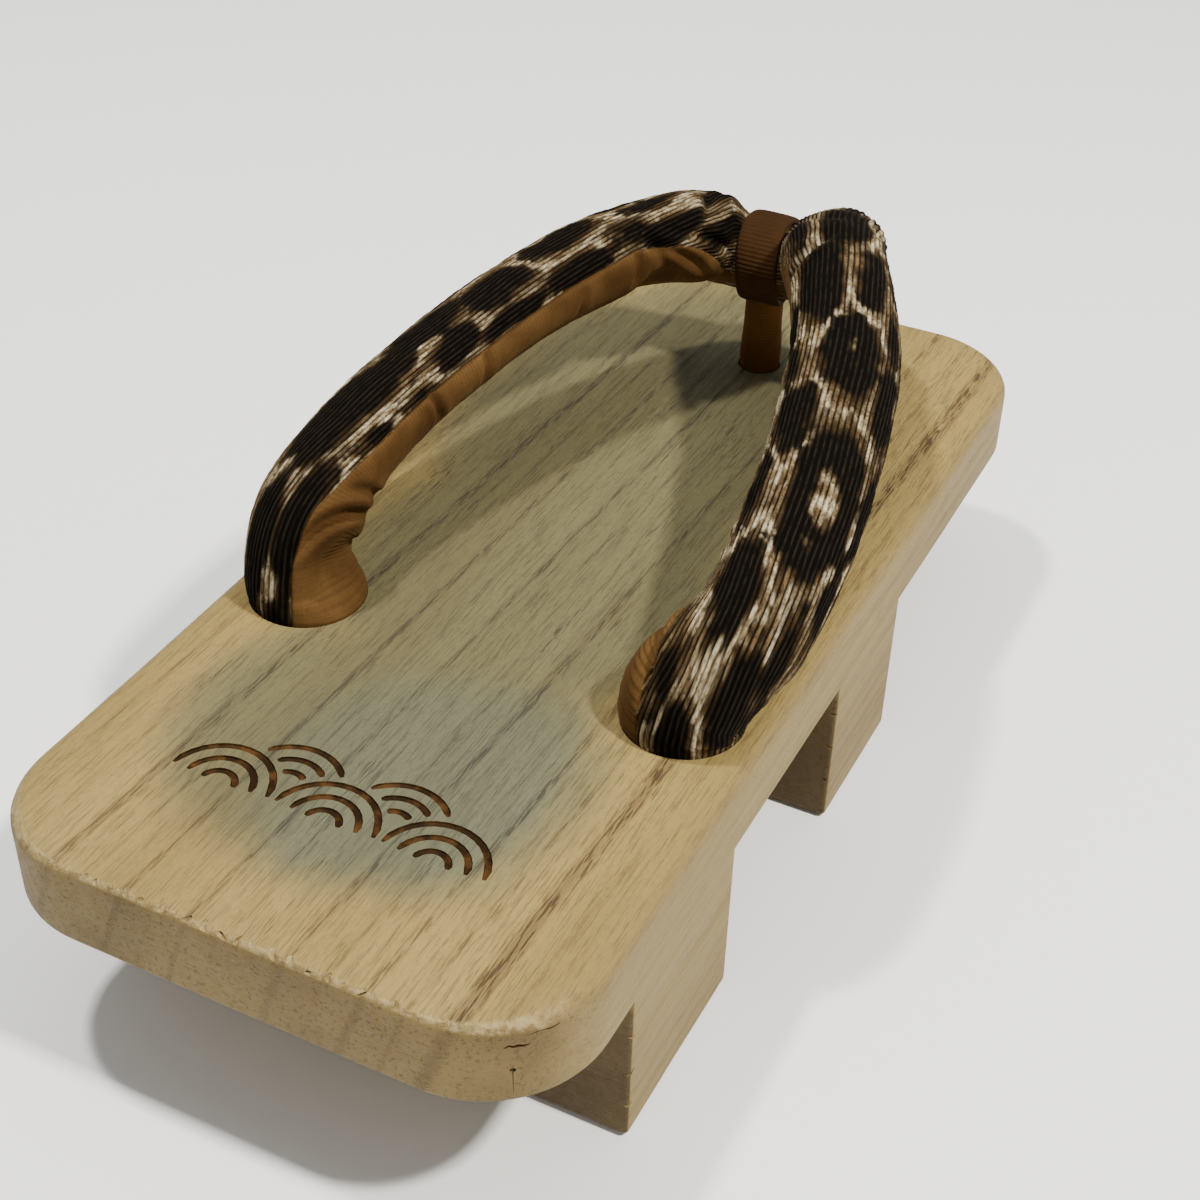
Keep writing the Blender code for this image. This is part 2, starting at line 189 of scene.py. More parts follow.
# Black spots of the cover: place along in mm, degrees round, half length in mm, half height in
# degrees, share of the spot that its pale heart takes
SPOTS = (
    (22.0, 99.0, 8.5, 21.0, 0.0),
    (15.5, 140.0, 6.5, 14.0, 0.0),
    (22.0, 170.0, 4.0, 9.0, 0.0),
    (33.0, 70.0, 6.0, 14.0, 0.0),
    (43.0, 43.0, 9.0, 13.0, 0.0),
    (37.0, 143.0, 8.5, 20.0, 0.0),
    (61.0, 89.0, 19.0, 36.0, 0.34),
    (66.0, 32.0, 11.0, 13.0, 0.0),
    (60.0, 166.0, 10.0, 11.0, 0.0),
    (81.0, 145.0, 9.5, 24.0, 0.0),
    (102.0, 100.0, 13.5, 29.0, 0.24),
    (94.0, 46.0, 11.0, 18.0, 0.0),
    (97.0, 163.0, 8.0, 10.0, 0.0),
    (113.0, 50.0, 7.5, 12.0, 0.0),
    (127.0, 86.0, 9.5, 17.0, 0.0),
    (125.0, 143.0, 14.0, 26.0, 0.0),
    (113.0, 180.0, 7.0, 8.0, 0.0),
    (145.0, 118.0, 6.5, 24.0, 0.0),
    (146.0, 170.0, 5.0, 14.0, 0.0),
    (158.0, 96.0, 7.0, 30.0, 0.0),
    (160.0, 165.0, 5.0, 26.0, 0.0),
    (186.0, 120.0, 6.0, 22.0, 0.0),
    (188.0, 153.0, 5.5, 12.0, 0.0),
    (187.0, 207.0, 7.0, 16.0, 0.0),
    (202.0, 118.0, 7.0, 18.0, 0.0),
    (203.0, 178.0, 9.0, 14.0, 0.0),
    (214.0, 158.0, 4.5, 17.0, 0.0),
    (227.0, 107.0, 10.5, 19.0, 0.0),
    (230.0, 164.0, 9.5, 14.0, 0.0),
    (249.0, 117.0, 9.0, 28.0, 0.0),
    (252.0, 164.0, 10.0, 12.0, 0.0),
    (266.0, 100.0, 12.0, 22.0, 0.0),
    (266.0, 150.0, 8.0, 18.0, 0.0),
    (292.0, 114.0, 17.0, 33.0, 0.0),
    (282.0, 172.0, 5.5, 7.0, 0.0),
    (296.0, 172.0, 5.0, 8.0, 0.0),
    (316.0, 122.0, 7.0, 21.0, 0.0),
    (316.0, 165.0, 8.0, 15.0, 0.0),
    (328.0, 160.0, 4.5, 14.0, 0.0),
    (329.0, 110.0, 6.0, 20.0, 0.0),
)
# Spots on the sides that face away, in the same columns
HIDDEN_SPOTS = (
    (20.0, 55.0, 7.0, 17.0, 0.0),
    (26.0, 18.0, 9.0, 17.0, 0.25),
    (22.0, -22.0, 8.0, 14.0, 0.0),
    (48.0, 4.0, 10.0, 17.0, 0.28),
    (72.0, -3.0, 9.0, 12.0, 0.0),
    (92.0, 12.0, 8.0, 14.0, 0.0),
    (113.0, 18.0, 9.0, 17.0, 0.25),
    (134.0, 38.0, 8.0, 19.0, 0.0),
    (136.0, -4.0, 9.0, 15.0, 0.0),
    (152.0, 55.0, 6.0, 18.0, 0.0),
    (155.0, 12.0, 6.5, 18.0, 0.0),
    (188.0, 78.0, 6.0, 18.0, 0.0),
    (188.0, 20.0, 7.0, 24.0, 0.0),
    (206.0, 72.0, 8.0, 20.0, 0.25),
    (208.0, 22.0, 9.0, 19.0, 0.0),
    (228.0, 62.0, 9.0, 18.0, 0.0),
    (231.0, 14.0, 9.0, 20.0, 0.28),
    (250.0, 58.0, 9.0, 17.0, 0.0),
    (254.0, 8.0, 9.0, 18.0, 0.0),
    (274.0, 54.0, 11.0, 19.0, 0.3),
    (279.0, 6.0, 9.0, 17.0, 0.0),
    (300.0, 56.0, 9.0, 17.0, 0.0),
    (302.0, 8.0, 9.0, 18.0, 0.25),
    (320.0, 72.0, 7.0, 19.0, 0.0),
    (322.0, 26.0, 8.0, 18.0, 0.0),
    (322.0, -22.0, 8.0, 14.0, 0.0),
)

# Creases: place along in mm, degrees round, half length in degrees, lean in mm per 90 degrees,
# half breadth in mm, depth in mm
CREASES = (
    (138.0, 160.0, 44.0, -10.0, 1.4, 1.3),
    (151.0, 150.0, 46.0, 9.0, 1.7, 1.0),
    (156.0, 78.0, 50.0, -6.0, 1.6, 0.9),
    (22.0, 205.0, 40.0, 10.0, 1.6, 0.8),
    (110.0, 215.0, 36.0, 4.0, 1.3, 0.6),
    (80.0, 220.0, 34.0, -5.0, 1.3, 0.6),
    (50.0, 214.0, 32.0, 4.0, 1.3, 0.6),
    (186.0, 140.0, 45.0, 10.0, 1.5, 0.8),
    (193.0, 172.0, 42.0, 6.0, 1.8, 2.2),
    (192.0, 215.0, 40.0, -26.0, 1.7, 1.3),
    (199.0, 226.0, 40.0, -20.0, 1.5, 1.2),
    (208.0, 190.0, 46.0, -8.0, 1.6, 1.4),
    (214.0, 205.0, 34.0, 2.0, 1.2, 0.9),
    (231.0, 214.0, 34.0, 3.0, 1.1, 0.5),
    (262.0, 205.0, 34.0, 3.0, 1.1, 0.9),
    (278.0, 205.0, 36.0, -2.0, 1.1, 1.0),
    (304.0, 225.0, 36.0, -12.0, 1.3, 0.9),
    (313.0, 208.0, 44.0, -12.0, 1.4, 1.9),
)

# Swellings and hollows: place along in mm, degrees round, half length in mm, half height in
# degrees, rise in mm
SWELLS = (
    (158.5, 86.0, 10.0, 62.0, 7.6),
    (146.0, 80.0, 9.0, 60.0, 1.6),
    (186.5, 165.0, 4.0, 45.0, 1.0),
    (134.0, 95.0, 12.0, 60.0, 0.6),
    (37.0, 185.0, 14.0, 40.0, -0.9),
    (204.0, 108.0, 13.0, 42.0, -1.6),
    (206.0, 250.0, 7.0, 34.0, -2.2),
    (191.0, 255.0, 8.0, 40.0, 1.0),
    (24.0, 205.0, 9.0, 34.0, 0.7),
    (322.0, 236.0, 6.5, 66.0, -6.6),
    (311.5, 236.0, 7.0, 45.0, 0.9),
    (245.0, 128.0, 12.0, 50.0, 0.3),
    (285.0, 118.0, 12.0, 50.0, 0.3),
    (70.0, 100.0, 14.0, 50.0, 0.4),
    (100.0, 110.0, 12.0, 50.0, 0.3),
)

# Front thong
BAND_WIDTH = 0.0100
BAND_THICKNESS = 0.0018
BAND_TURNS = 240
BAND_COLUMNS = 28
BAND_RIBS = 64
BAND_RIB_RELIEF = 0.00010
FIT_GAP = 0.0003
# height over the board, half width across, half width along, share of the strap's lean
STEM_SECTIONS = (
    (0.0188, 0.0044, 0.0034, 1.00),
    (0.0150, 0.0044, 0.0038, 0.95),
    (0.0090, 0.0045, 0.0043, 0.60),
    (0.0036, 0.0048, 0.0047, 0.22),
    (0.0008, 0.0047, 0.0047, 0.05),
    (-0.0016, 0.0044, 0.0044, 0.00),
    (-0.0080, 0.0043, 0.0043, 0.00),
    (-0.0116, 0.0033, 0.0033, 0.00),
)
STEM_COLUMNS = 72
STEM_STEPS = 20

# Tie cords and their knots under the board
CORD_RADIUS = 0.0014
PLIES = 3
PLY_RADIUS = 0.00068
TWIST_PITCH = 0.0060
CORD_TOP = -0.0122
CORD_CURVE_START = 0.0055
KNOT_SPREAD = 0.0023
KNOT_DEPTH = 0.0030
KNOT_OPENING = 0.36
KNOT_ROWS = 12
KNOT_STEPS = 8
KNOT_TAIL = (
    (0.0006, -0.0022, -0.0006),
    (0.0008, -0.0046, -0.0018),
    (0.0010, -0.0066, -0.0036),
)

# Burnt mark: a patch of waves, each of three arcs
MARK_CENTRE = (-0.0021, -0.0935)
WAVE_RADIUS = 0.0106
# share of the wave's radius, and the angle at which the arc starts in the front and the back row
WAVE_ARCS = ((0.92, 6.0, 38.0), (0.61, 6.0, 44.0), (0.30, 6.0, 47.0))
FRONT_WAVES = (-1.0, 0.0, 1.0)      # places in wave widths
BACK_WAVES = (-0.5, 0.5)
GROOVE_RADIUS = 0.00076
GROOVE_LIFT = 0.00020
ARC_STEPS = 14

# Cracks in the heel's right corner: start and end in degrees round the corner, height, radius
CORNER_CRACKS = (
    (-49.0, -20.0, 0.0492, 0.00014),
    (-54.0, -43.0, 0.0472, 0.00028),
    (-51.5, -49.0, 0.0418, 0.00040),
)

# Camera, floor and light
CAMERA_PLACE = (0.1410, -0.2862, 0.2739)
CAMERA_FORWARD = (-0.478, 0.651, -0.589)
CAMERA_RIGHT = (0.8315, 0.5517, -0.0652)
CAMERA_LENS = 57.5
CAMERA_AIM = (0.002, 0.004, 0.036)
SENSOR_WIDTH = 36.0


def deselect():
    """Leave nothing selected."""
    bpy.ops.object.select_all(action="DESELECT")


def activate(piece):
    """Make one piece the only selected and active one."""
    deselect()
    piece.select_set(True)
    bpy.context.view_layer.objects.active = piece
    return piece


def settle(piece):
    """Put a piece's place, turn and scale into its mesh."""
    activate(piece)
    bpy.ops.object.transform_apply(location=True, rotation=True, scale=True)
    return piece


def named(name):
    """Name the newest object and its mesh."""
    piece = bpy.context.object
    piece.name = name
    piece.data.name = name
    return piece


def start_edit(piece, mode):
    """Enter edit mode with nothing selected."""
    activate(piece)
    bpy.ops.object.mode_set(mode="EDIT")
    bpy.ops.mesh.select_mode(type=mode)
    bpy.ops.mesh.select_all(action="DESELECT")
    bpy.ops.object.mode_set(mode="OBJECT")


def pick(piece, mode, test):
    """Select the vertices, edges or faces that pass a test, and enter edit mode."""
    start_edit(piece, mode)
    mesh = piece.data
    if mode == "VERT":
        for vertex in mesh.vertices:
            vertex.select = test(vertex.co)
    elif mode == "EDGE":
        for edge in mesh.edges:
            edge.select = test(*(mesh.vertices[index].co for index in edge.vertices))
    else:
        for face in mesh.polygons:
            face.select = test(face)
    bpy.ops.object.mode_set(mode="EDIT")


def leave_edit():
    """Return to object mode."""
    bpy.ops.object.mode_set(mode="OBJECT")


def cut(piece, place, normal):
    """Bisect a whole piece with a plane."""
    activate(piece)
    bpy.ops.object.mode_set(mode="EDIT")
    bpy.ops.mesh.select_all(action="SELECT")
    bpy.ops.mesh.bisect(plane_co=place, plane_no=normal)
    leave_edit()


def apply_modifier(piece, kind, **settings):
    """Add a modifier with its settings and apply it."""
    activate(piece)
    modifier = piece.modifiers.new(kind.title(), kind)
    for name, value in settings.items():
        setattr(modifier, name, value)
    bpy.ops.object.modifier_apply(modifier=modifier.name)


def remove(piece):
    """Delete a cutter or a guide."""
    bpy.data.objects.remove(piece, do_unlink=True)


def subtract(piece, cutter):
    """Cut a piece with another and delete the cutter."""
    apply_modifier(piece, "BOOLEAN", operation="DIFFERENCE", solver="MANIFOLD", object=cutter)
    remove(cutter)


def join(pieces, name):
    """Join pieces into one."""
    deselect()
    for piece in pieces:
        piece.select_set(True)
    bpy.context.view_layer.objects.active = pieces[0]
    bpy.ops.object.join()
    return named(name)


def smooth_share(low, high, value):
    """Rise smoothly from 0 to 1 between two values."""
    share = np.clip((value - low) / (high - low), 0.0, 1.0)
    return share * share * (3.0 - 2.0 * share)


def patchy(x, y, seed):
    """Smooth noise from 0 to 1 with a period of one unit, from a seeded lattice."""
    lattice = np.random.default_rng(seed).random((128, 128))
    column, row = np.floor(x).astype(int), np.floor(y).astype(int)
    across, up = x - column, y - row
    across = across * across * (3.0 - 2.0 * across)
    up = up * up * (3.0 - 2.0 * up)
    corner = lattice[column % 128, row % 128] * (1.0 - across)
    corner += lattice[(column + 1) % 128, row % 128] * across
    above = lattice[column % 128, (row + 1) % 128] * (1.0 - across)
    above += lattice[(column + 1) % 128, (row + 1) % 128] * across
    return corner * (1.0 - up) + above * up


class Finish:
    """A procedural material: a Principled shader and short calls for its nodes."""

    def __init__(self, name, roughness, specular=0.3):
        self.material = bpy.data.materials.new(name)
        self.material.use_nodes = True
        self.tree = self.material.node_tree
        self.shader = self.tree.nodes["Principled BSDF"]
        self.shader.inputs["Roughness"].default_value = roughness
        self.shader.inputs["Specular IOR Level"].default_value = specular

    def set_inputs(self, node, inputs):
        for name, value in inputs.items():
            socket = node.inputs[name]
            if isinstance(value, bpy.types.NodeSocket):
                self.tree.links.new(value, socket)
            elif isinstance(value, tuple) and len(value) == 3 and socket.type == "RGBA":
                socket.default_value = (*value, 1.0)
            else:
                socket.default_value = value

    def node(self, kind, inputs=None, **settings):
        made = self.tree.nodes.new("ShaderNode" + kind)
        for name, value in settings.items():
            setattr(made, name, value)
        self.set_inputs(made, inputs or {})
        return made

    def shade(self, **inputs):
        """Set the shader's own sockets."""
        self.set_inputs(self.shader, {name.replace("_", " "): value for name, value in inputs.items()})

    def object_place(self, scale=(1.0, 1.0, 1.0), turn=(0.0, 0.0, 0.0), offset=(0.0, 0.0, 0.0)):
        """Object coordinates, scaled and turned."""
        source = self.node("TexCoord").outputs["Object"]
        mapping = self.node("Mapping", {"Vector": source, "Scale": scale, "Rotation": turn,
                                        "Location": offset})
        return mapping.outputs["Vector"]

    def cloth_place(self, scale=(1.0, 1.0, 1.0)):
        """The piece's own cloth coordinates, scaled."""
        source = self.node("UVMap", uv_map="cloth").outputs["UV"]
        return self.node("Mapping", {"Vector": source, "Scale": scale}).outputs["Vector"]

    def math(self, operation, first, second=0.0, clamp=False):
        made = self.node("Math", operation=operation, use_clamp=clamp)
        for index, value in enumerate((first, second)):
            if isinstance(value, bpy.types.NodeSocket):
                self.tree.links.new(value, made.inputs[index])
            else:
                made.inputs[index].default_value = value
        return made.outputs[0]

    def span(self, value, low, high, start=0.0, end=1.0):
        """Map a value from one span smoothly to another."""
        made = self.node("MapRange", {"Value": value, "From Min": low, "From Max": high,
                                      "To Min": start, "To Max": end}, interpolation_type="SMOOTHSTEP")
        return made.outputs["Result"]

    def mix(self, share, first, second, blend="MIX"):
        """Mix two colours."""
        made = self.node("Mix", data_type="RGBA", blend_type=blend)
        places = {0: share, 6: first, 7: second}
        for index, value in places.items():
            socket = made.inputs[index]
            if isinstance(value, bpy.types.NodeSocket):
                self.tree.links.new(value, socket)
            else:
                socket.default_value = (*value, 1.0) if isinstance(value, tuple) else value
        return made.outputs[2]

    def noise(self, place, scale=1.0, detail=2.0, roughness=0.5, distortion=0.0):
        made = self.node("TexNoise", {"Vector": place, "Scale": scale, "Detail": detail,
                                      "Roughness": roughness, "Distortion": distortion})
        return made.outputs["Fac"]

    def bump(self, height, depth, strength=1.0, under=None):
        """A bump of a real depth in metres, laid over another if one is given."""
        inputs = {"Height": height, "Distance": depth, "Strength": strength}
        if under is not None:
            inputs["Normal"] = under
        return self.node("Bump", inputs).outputs["Normal"]


def growth_lines(wood, across, along, up):
    """The growth lines, leaning and wandering a little as they run along the board."""
    drift = wood.math("SUBTRACT", wood.noise(wood.object_place((18.0, 9.0, 18.0)), 1.0, 2.0), 0.5)
    place = wood.math("ADD", across, wood.math("MULTIPLY", drift, GROWTH_DRIFT))
    run = wood.math("MULTIPLY", wood.math("ADD", along, LENGTH / 2), GROWTH_LEAN)
    depth = wood.math("MULTIPLY", wood.math("SUBTRACT", HEIGHT, up), GROWTH_SLOPE)
    place = wood.math("ADD", wood.math("SUBTRACT", place, run), depth)
    lines = wood.span(place, 1.0, 2.0)
    for centre, half_breadth, strength in GROWTH_LINES:
        off = wood.math("ABSOLUTE", wood.math("SUBTRACT", place, centre))
        line = wood.span(off, half_breadth * 1.7, half_breadth * 0.2, 0.0, strength)
        lines = wood.math("MAXIMUM", lines, line)
    return lines


def wood_finish(name, burnt=False):
    """Pale paulownia with its grain along the sole, darker end grain and a blue-grey stain, with painted shade on
    the end faces, the sides and the foot bed by the strap, and a painted highlight on the heel's top edge.
    """
    wood = Finish(name, 0.62, 0.04 if burnt else 0.22)
    parts = wood.node("SeparateXYZ", {"Vector": wood.node("TexCoord").outputs["Object"]})
    across, along, up = (parts.outputs[axis] for axis in "XYZ")
    facing = wood.node("SeparateXYZ", {"Vector": wood.node("NewGeometry").outputs["Normal"]})
    end_grain = wood.span(wood.math("ABSOLUTE", facing.outputs["Y"]), 0.25, 0.70)
    top_face = wood.span(facing.outputs["Z"], 0.5, 0.95)
    lines = growth_lines(wood, across, along, up)

    # Fibres and open pores, long in the direction of the grain
    streak = wood.noise(wood.object_place((430.0, 9.0, 430.0)), 1.0, 3.0, 0.6)
    fine = wood.noise(wood.object_place((3000.0, 120.0, 3000.0), offset=(5.0, 2.0, 1.0)), 1.0, 3.0, 0.65)
    pore = wood.noise(wood.object_place((3100.0, 210.0, 3100.0)), 1.0, 1.0)
    cluster = wood.noise(wood.object_place((300.0, 26.0, 300.0)), 1.0, 2.0)
    open_pores = wood.span(pore, 0.50, 0.60)
    scattered = wood.math("MULTIPLY", wood.span(pore, 0.58, 0.66), wood.span(cluster, 0.52, 0.70, 0.0, 0.55))
    mottle = wood.noise(wood.object_place((1100.0, 700.0, 1100.0)), 1.0, 3.0, 0.7)
    dots = wood.noise(wood.object_place((1250.0, 1250.0, 1250.0)), 1.0, 2.0, 0.6)
    specks = wood.span(dots, 0.54, 0.68)
    cloud = wood.noise(wood.object_place((34.0, 5.0, 34.0)), 1.0, 2.0)

    # Pale wood in wide soft bands, with fine dark fibres and brown growth lines
    colour = wood.mix(wood.span(cloud, 0.32, 0.68), (0.300, 0.216, 0.068), (0.235, 0.162, 0.048))
    colour = wood.mix(wood.span(streak, 0.46, 0.74, 0.0, 0.30), colour, (0.150, 0.100, 0.034))
    colour = wood.mix(wood.span(fine, 0.49, 0.66, 0.0, 0.58), colour, (0.095, 0.062, 0.024))
    colour = wood.mix(wood.span(mottle, 0.42, 0.72, 0.0, 0.22), colour, (0.110, 0.075, 0.032))
    colour = wood.mix(scattered, colour, (0.070, 0.042, 0.016))
    line_pores = wood.math("MULTIPLY", open_pores, lines)
    colour = wood.mix(wood.math("MULTIPLY", lines, wood.span(cluster, 0.35, 0.65, 0.20, 0.62)),
                      colour, (0.120, 0.074, 0.030))
    colour = wood.mix(line_pores, colour, (0.072, 0.042, 0.017))

    # The grey-blue stain on the foot bed, with clean margins; its front ovals and their grey also paint the shade
    # that the strap's arms cast on the foot bed
    ragged = wood.noise(wood.object_place((46.0, 15.0, 46.0)), 1.0, 4.0, 0.6)
    ragged = wood.math("MULTIPLY", wood.math("SUBTRACT", ragged, 0.5), 1.10)
    stain_and_shade = stain_and_shade_oval(wood, across, along, *STAIN_AND_SHADE_PATCHES[0])
    for centre, reach in STAIN_AND_SHADE_PATCHES[1:]:
        stain_and_shade = wood.math("MAXIMUM", stain_and_shade, stain_and_shade_oval(wood, across, along, centre, reach))
    stain_and_shade = wood.math("MULTIPLY", wood.span(wood.math("ADD", stain_and_shade, ragged), -0.25, 0.60), top_face)
    blue = wood.span(wood.math("ADD", stain_and_shade_oval(wood, across, along, *BLUE_PATCH), ragged), -0.3, 0.8)
    # This grey tints both the real stain and the painted shade beside and between the strap's arms
    grey_stain_and_shade_wood = wood.mix(1.0, colour, (0.480, 0.590, 0.840), "MULTIPLY")
    blue_wood = wood.mix(1.0, colour, (0.410, 0.570, 1.020), "MULTIPLY")
    colour = wood.mix(stain_and_shade, colour, wood.mix(blue, grey_stain_and_shade_wood, blue_wood))

    # End grain is darker and dotted, partly its own colour and partly painted shade on faces turned from the
    # light, and darkest on the teeth, where the extra dark is painted shade
    end_tone = wood.mix(wood.span(cloud, 0.3, 0.7), (0.195, 0.135, 0.042), (0.120, 0.078, 0.024))
    end_tone = wood.mix(wood.math("MULTIPLY", specks, 0.50), end_tone, (0.050, 0.028, 0.009))
    end_tone = wood.mix(wood.math("MULTIPLY", lines, 0.30), end_tone, (0.062, 0.036, 0.012))
    tooth_shade_part = wood.span(up, BOARD_UNDERSIDE + 0.001, BOARD_UNDERSIDE - 0.003)
    end_tone = wood.mix(wood.math("MULTIPLY", tooth_shade_part, 0.60), end_tone, (0.042, 0.024, 0.007))
    colour = wood.mix(end_grain, colour, end_tone)
    # The long side faces are painted darker and greyer: painted shade
    side = wood.math("MULTIPLY", wood.math("SUBTRACT", 1.0, top_face),
                     wood.math("SUBTRACT", 1.0, end_grain))
    colour = wood.mix(wood.math("MULTIPLY", side, 0.40), colour, (0.170, 0.122, 0.052))

    # A painted highlight along the heel's rounded top edge, broken up by noise
    pale_patch = wood.math("MULTIPLY", wood.span(facing.outputs["Z"], 0.25, 0.55),
                     wood.span(facing.outputs["Z"], 0.99, 0.88))
    pale_patch = wood.math("MULTIPLY", pale_patch, wood.span(along, -LENGTH / 2 + 0.016, -LENGTH / 2 + 0.006))
    highlight_breakup = wood.noise(wood.object_place((620.0, 620.0, 620.0)), 1.0, 4.0, 0.7)
    pale_patch = wood.math("MULTIPLY", pale_patch, wood.span(highlight_breakup, 0.38, 0.66, 0.10, 0.70))
    colour = wood.mix(pale_patch, colour, (0.400, 0.310, 0.150))
    if burnt:
        char = wood.noise(wood.object_place((320.0, 320.0, 320.0)), 1.0, 3.0)
        colour = wood.mix(wood.span(char, 0.40, 0.75), (0.018, 0.009, 0.003), (0.080, 0.036, 0.010))
    saw = wood.noise(wood.object_place((60.0, 60.0, 2600.0), (0.0, 0.12, 0.0)), 1.0, 2.0)
    height = wood.math("ADD", wood.math("MULTIPLY", fine, -0.9), wood.math("MULTIPLY", mottle, 0.5))
    height = wood.math("SUBTRACT", height, wood.math("ADD", scattered, line_pores))
    flat = wood.bump(height, 0.00022, 0.75)
    rough = wood.bump(wood.math("ADD", wood.math("MULTIPLY", saw, end_grain),
                                wood.math("MULTIPLY", specks, -0.5)), 0.00025, 0.5, flat)
    wood.shade(Base_Color=colour, Normal=rough,
               Roughness=wood.span(streak, 0.3, 0.8, 0.54, 0.74))
    return wood.material


def stain_and_shade_oval(wood, across, along, centre, reach):
    """A soft oval on the foot bed, 1 in its middle and 0 at its rim."""
    side = wood.math("DIVIDE", wood.math("SUBTRACT", across, centre[0]), reach[0])
    front = wood.math("DIVIDE", wood.math("SUBTRACT", along, centre[1]), reach[1])
    square = wood.math("ADD", wood.math("MULTIPLY", side, side), wood.math("MULTIPLY", front, front))
    return wood.math("SUBTRACT", 1.0, wood.math("POWER", square, 1.3))


def corduroy_finish():
    """Leopard print on ribbed pile, from the piece's own print attribute."""
    cloth = Finish("leopard_corduroy", 0.92, 0.04)
    marks = cloth.node("Attribute", attribute_name="print")
    parts = cloth.node("SeparateColor", {"Color": marks.outputs["Color"]})
    black, cream, tan = (parts.outputs[part] for part in ("Red", "Green", "Blue"))
    crest = marks.outputs["Alpha"]
    fleck = cloth.noise(cloth.cloth_place((1500.0, 2600.0, 1.0)), 1.0, 2.0, 0.6)
    thread = cloth.noise(cloth.cloth_place((330.0, 800.0, 1.0)), 1.0, 2.0, 0.6)
    ridge_frost_and_sheen = cloth.span(crest, 0.40, 1.00)
    ground = cloth.mix(tan, (0.026, 0.016, 0.007), (0.140, 0.092, 0.042))
    ground = cloth.mix(cloth.span(thread, 0.42, 0.62, 0.0, 0.70), ground, (0.036, 0.019, 0.007))
    pale = cloth.mix(cloth.span(thread, 0.38, 0.62), (0.500, 0.420, 0.270), (0.190, 0.130, 0.066))
    colour = cloth.mix(cream, ground, pale)
    # On the black, the rib crests are paler: partly the pile's frosted tips, partly painted sheen
    inky = cloth.mix(ridge_frost_and_sheen, (0.0006, 0.0004, 0.0003), (0.0150, 0.0115, 0.0075))
    inky = cloth.mix(cloth.span(thread, 0.42, 0.62, 0.0, 0.75), inky, (0.0010, 0.0007, 0.0004))
    colour = cloth.mix(black, colour, inky)
    colour = cloth.mix(cloth.span(fleck, 0.46, 0.68, 0.0, 0.62), colour, (0.006, 0.004, 0.002))
    # Painted shade in the grooves between the ribs, lighter where the cloth is cream
    groove_shade = cloth.math("MULTIPLY", cloth.span(crest, 0.02, 0.72, 0.95, 0.0),
                        cloth.span(cream, 0.2, 1.0, 1.0, 0.72))
    colour = cloth.mix(groove_shade, colour, (0.0020, 0.0012, 0.0006))
    pile = cloth.bump(cloth.math("ADD", fleck, thread), 0.00016, 0.8)
    cloth.shade(Base_Color=colour, Normal=pile, Sheen_Weight=0.02, Sheen_Roughness=0.45,
                Sheen_Tint=(1.0, 0.84, 0.60))
    return cloth.material


def velvet_finish(name, low, high, rib_pitch):
    """Short brown pile with fine ribs across the cloth."""
    cloth = Finish(name, 0.85, 0.08)
    tuft = cloth.noise(cloth.cloth_place((1500.0, 1500.0, 1.0)), 1.0, 3.0, 0.65)
    pale_patch = cloth.noise(cloth.cloth_place((70.0, 55.0, 1.0)), 1.0, 3.0)
    colour = cloth.mix(cloth.span(pale_patch, 0.25, 0.75), low, high)
    colour = cloth.mix(cloth.span(tuft, 0.50, 0.80, 0.0, 0.45), colour, tuple(part * 0.35 for part in low))
    # Dark lines along the rib valleys are painted shade
    along = cloth.node("SeparateXYZ", {"Vector": cloth.cloth_place((2.0 * math.pi / rib_pitch, 1.0, 1.0))})
    rib = cloth.math("SINE", along.outputs["X"])
    colour = cloth.mix(cloth.span(rib, -1.0, 0.1, 0.24, 0.0), colour, tuple(part * 0.3 for part in low))
    pile = cloth.bump(tuft, 0.00012, 0.6)
    cloth.shade(Base_Color=colour, Normal=pile, Sheen_Weight=0.06, Sheen_Roughness=0.35,
                Sheen_Tint=(1.0, 0.66, 0.32))
    return cloth.material


def cord_finish():
    """Twisted hemp with loose fibres."""
    cord = Finish("tie_cord", 0.85, 0.2)
    fibre = cord.noise(cord.object_place((1800.0, 1800.0, 1800.0)), 1.0, 3.0, 0.6)
    tone = cord.noise(cord.object_place((160.0, 160.0, 160.0)), 1.0, 2.0)
    colour = cord.mix(cord.span(tone, 0.3, 0.7), (0.480, 0.390, 0.250), (0.600, 0.510, 0.350))
    colour = cord.mix(cord.span(fibre, 0.48, 0.75, 0.0, 0.5), colour, (0.250, 0.185, 0.105))
    cord.shade(Base_Color=colour, Normal=cord.bump(fibre, 0.00012, 0.7))
    return cord.material


def tooth_spans():
    """The two teeth, from their back to their front."""
    return (REAR_TOOTH, FRONT_TOOTH)


def shape_block():
    """Shape board and teeth from one block, and plane it a little unevenly."""
    middle = (0.0, 0.0, HEIGHT - BOARD_THICKNESS / 2)
    bpy.ops.mesh.primitive_cube_add(size=1.0, location=middle)
    block = named("paulownia_sole")
    block.scale = (TOE_WIDTH, LENGTH, BOARD_THICKNESS)
    settle(block)
    pick(block, "VERT", lambda place: place.y < 0)
    bpy.ops.transform.resize(value=(HEEL_WIDTH / TOE_WIDTH, 1.0, 1.0), center_override=(0.0, 0.0, 0.0))
    leave_edit()
    pick(block, "EDGE", lambda low, high: abs(low.z - high.z) > BOARD_THICKNESS / 2)
    bpy.ops.mesh.bevel(offset=CORNER_RADIUS, segments=CORNER_SEGMENTS, affect="EDGES")
    leave_edit()
    for back, front in tooth_spans():
        cut(block, (0.0, back, 0.0), (0.0, 1.0, 0.0))
        cut(block, (0.0, front, 0.0), (0.0, 1.0, 0.0))
    pick(block, "FACE", under_a_tooth)
    bpy.ops.mesh.extrude_region_move(TRANSFORM_OT_translate={"value": (0.0, 0.0, -BOARD_UNDERSIDE)})
    leave_edit()
    return block


def under_a_tooth(face):
    """Whether a face of the board's underside becomes a tooth."""
    below = face.normal.z < -0.9
    return below and any(back < face.center.y < front for back, front in tooth_spans())


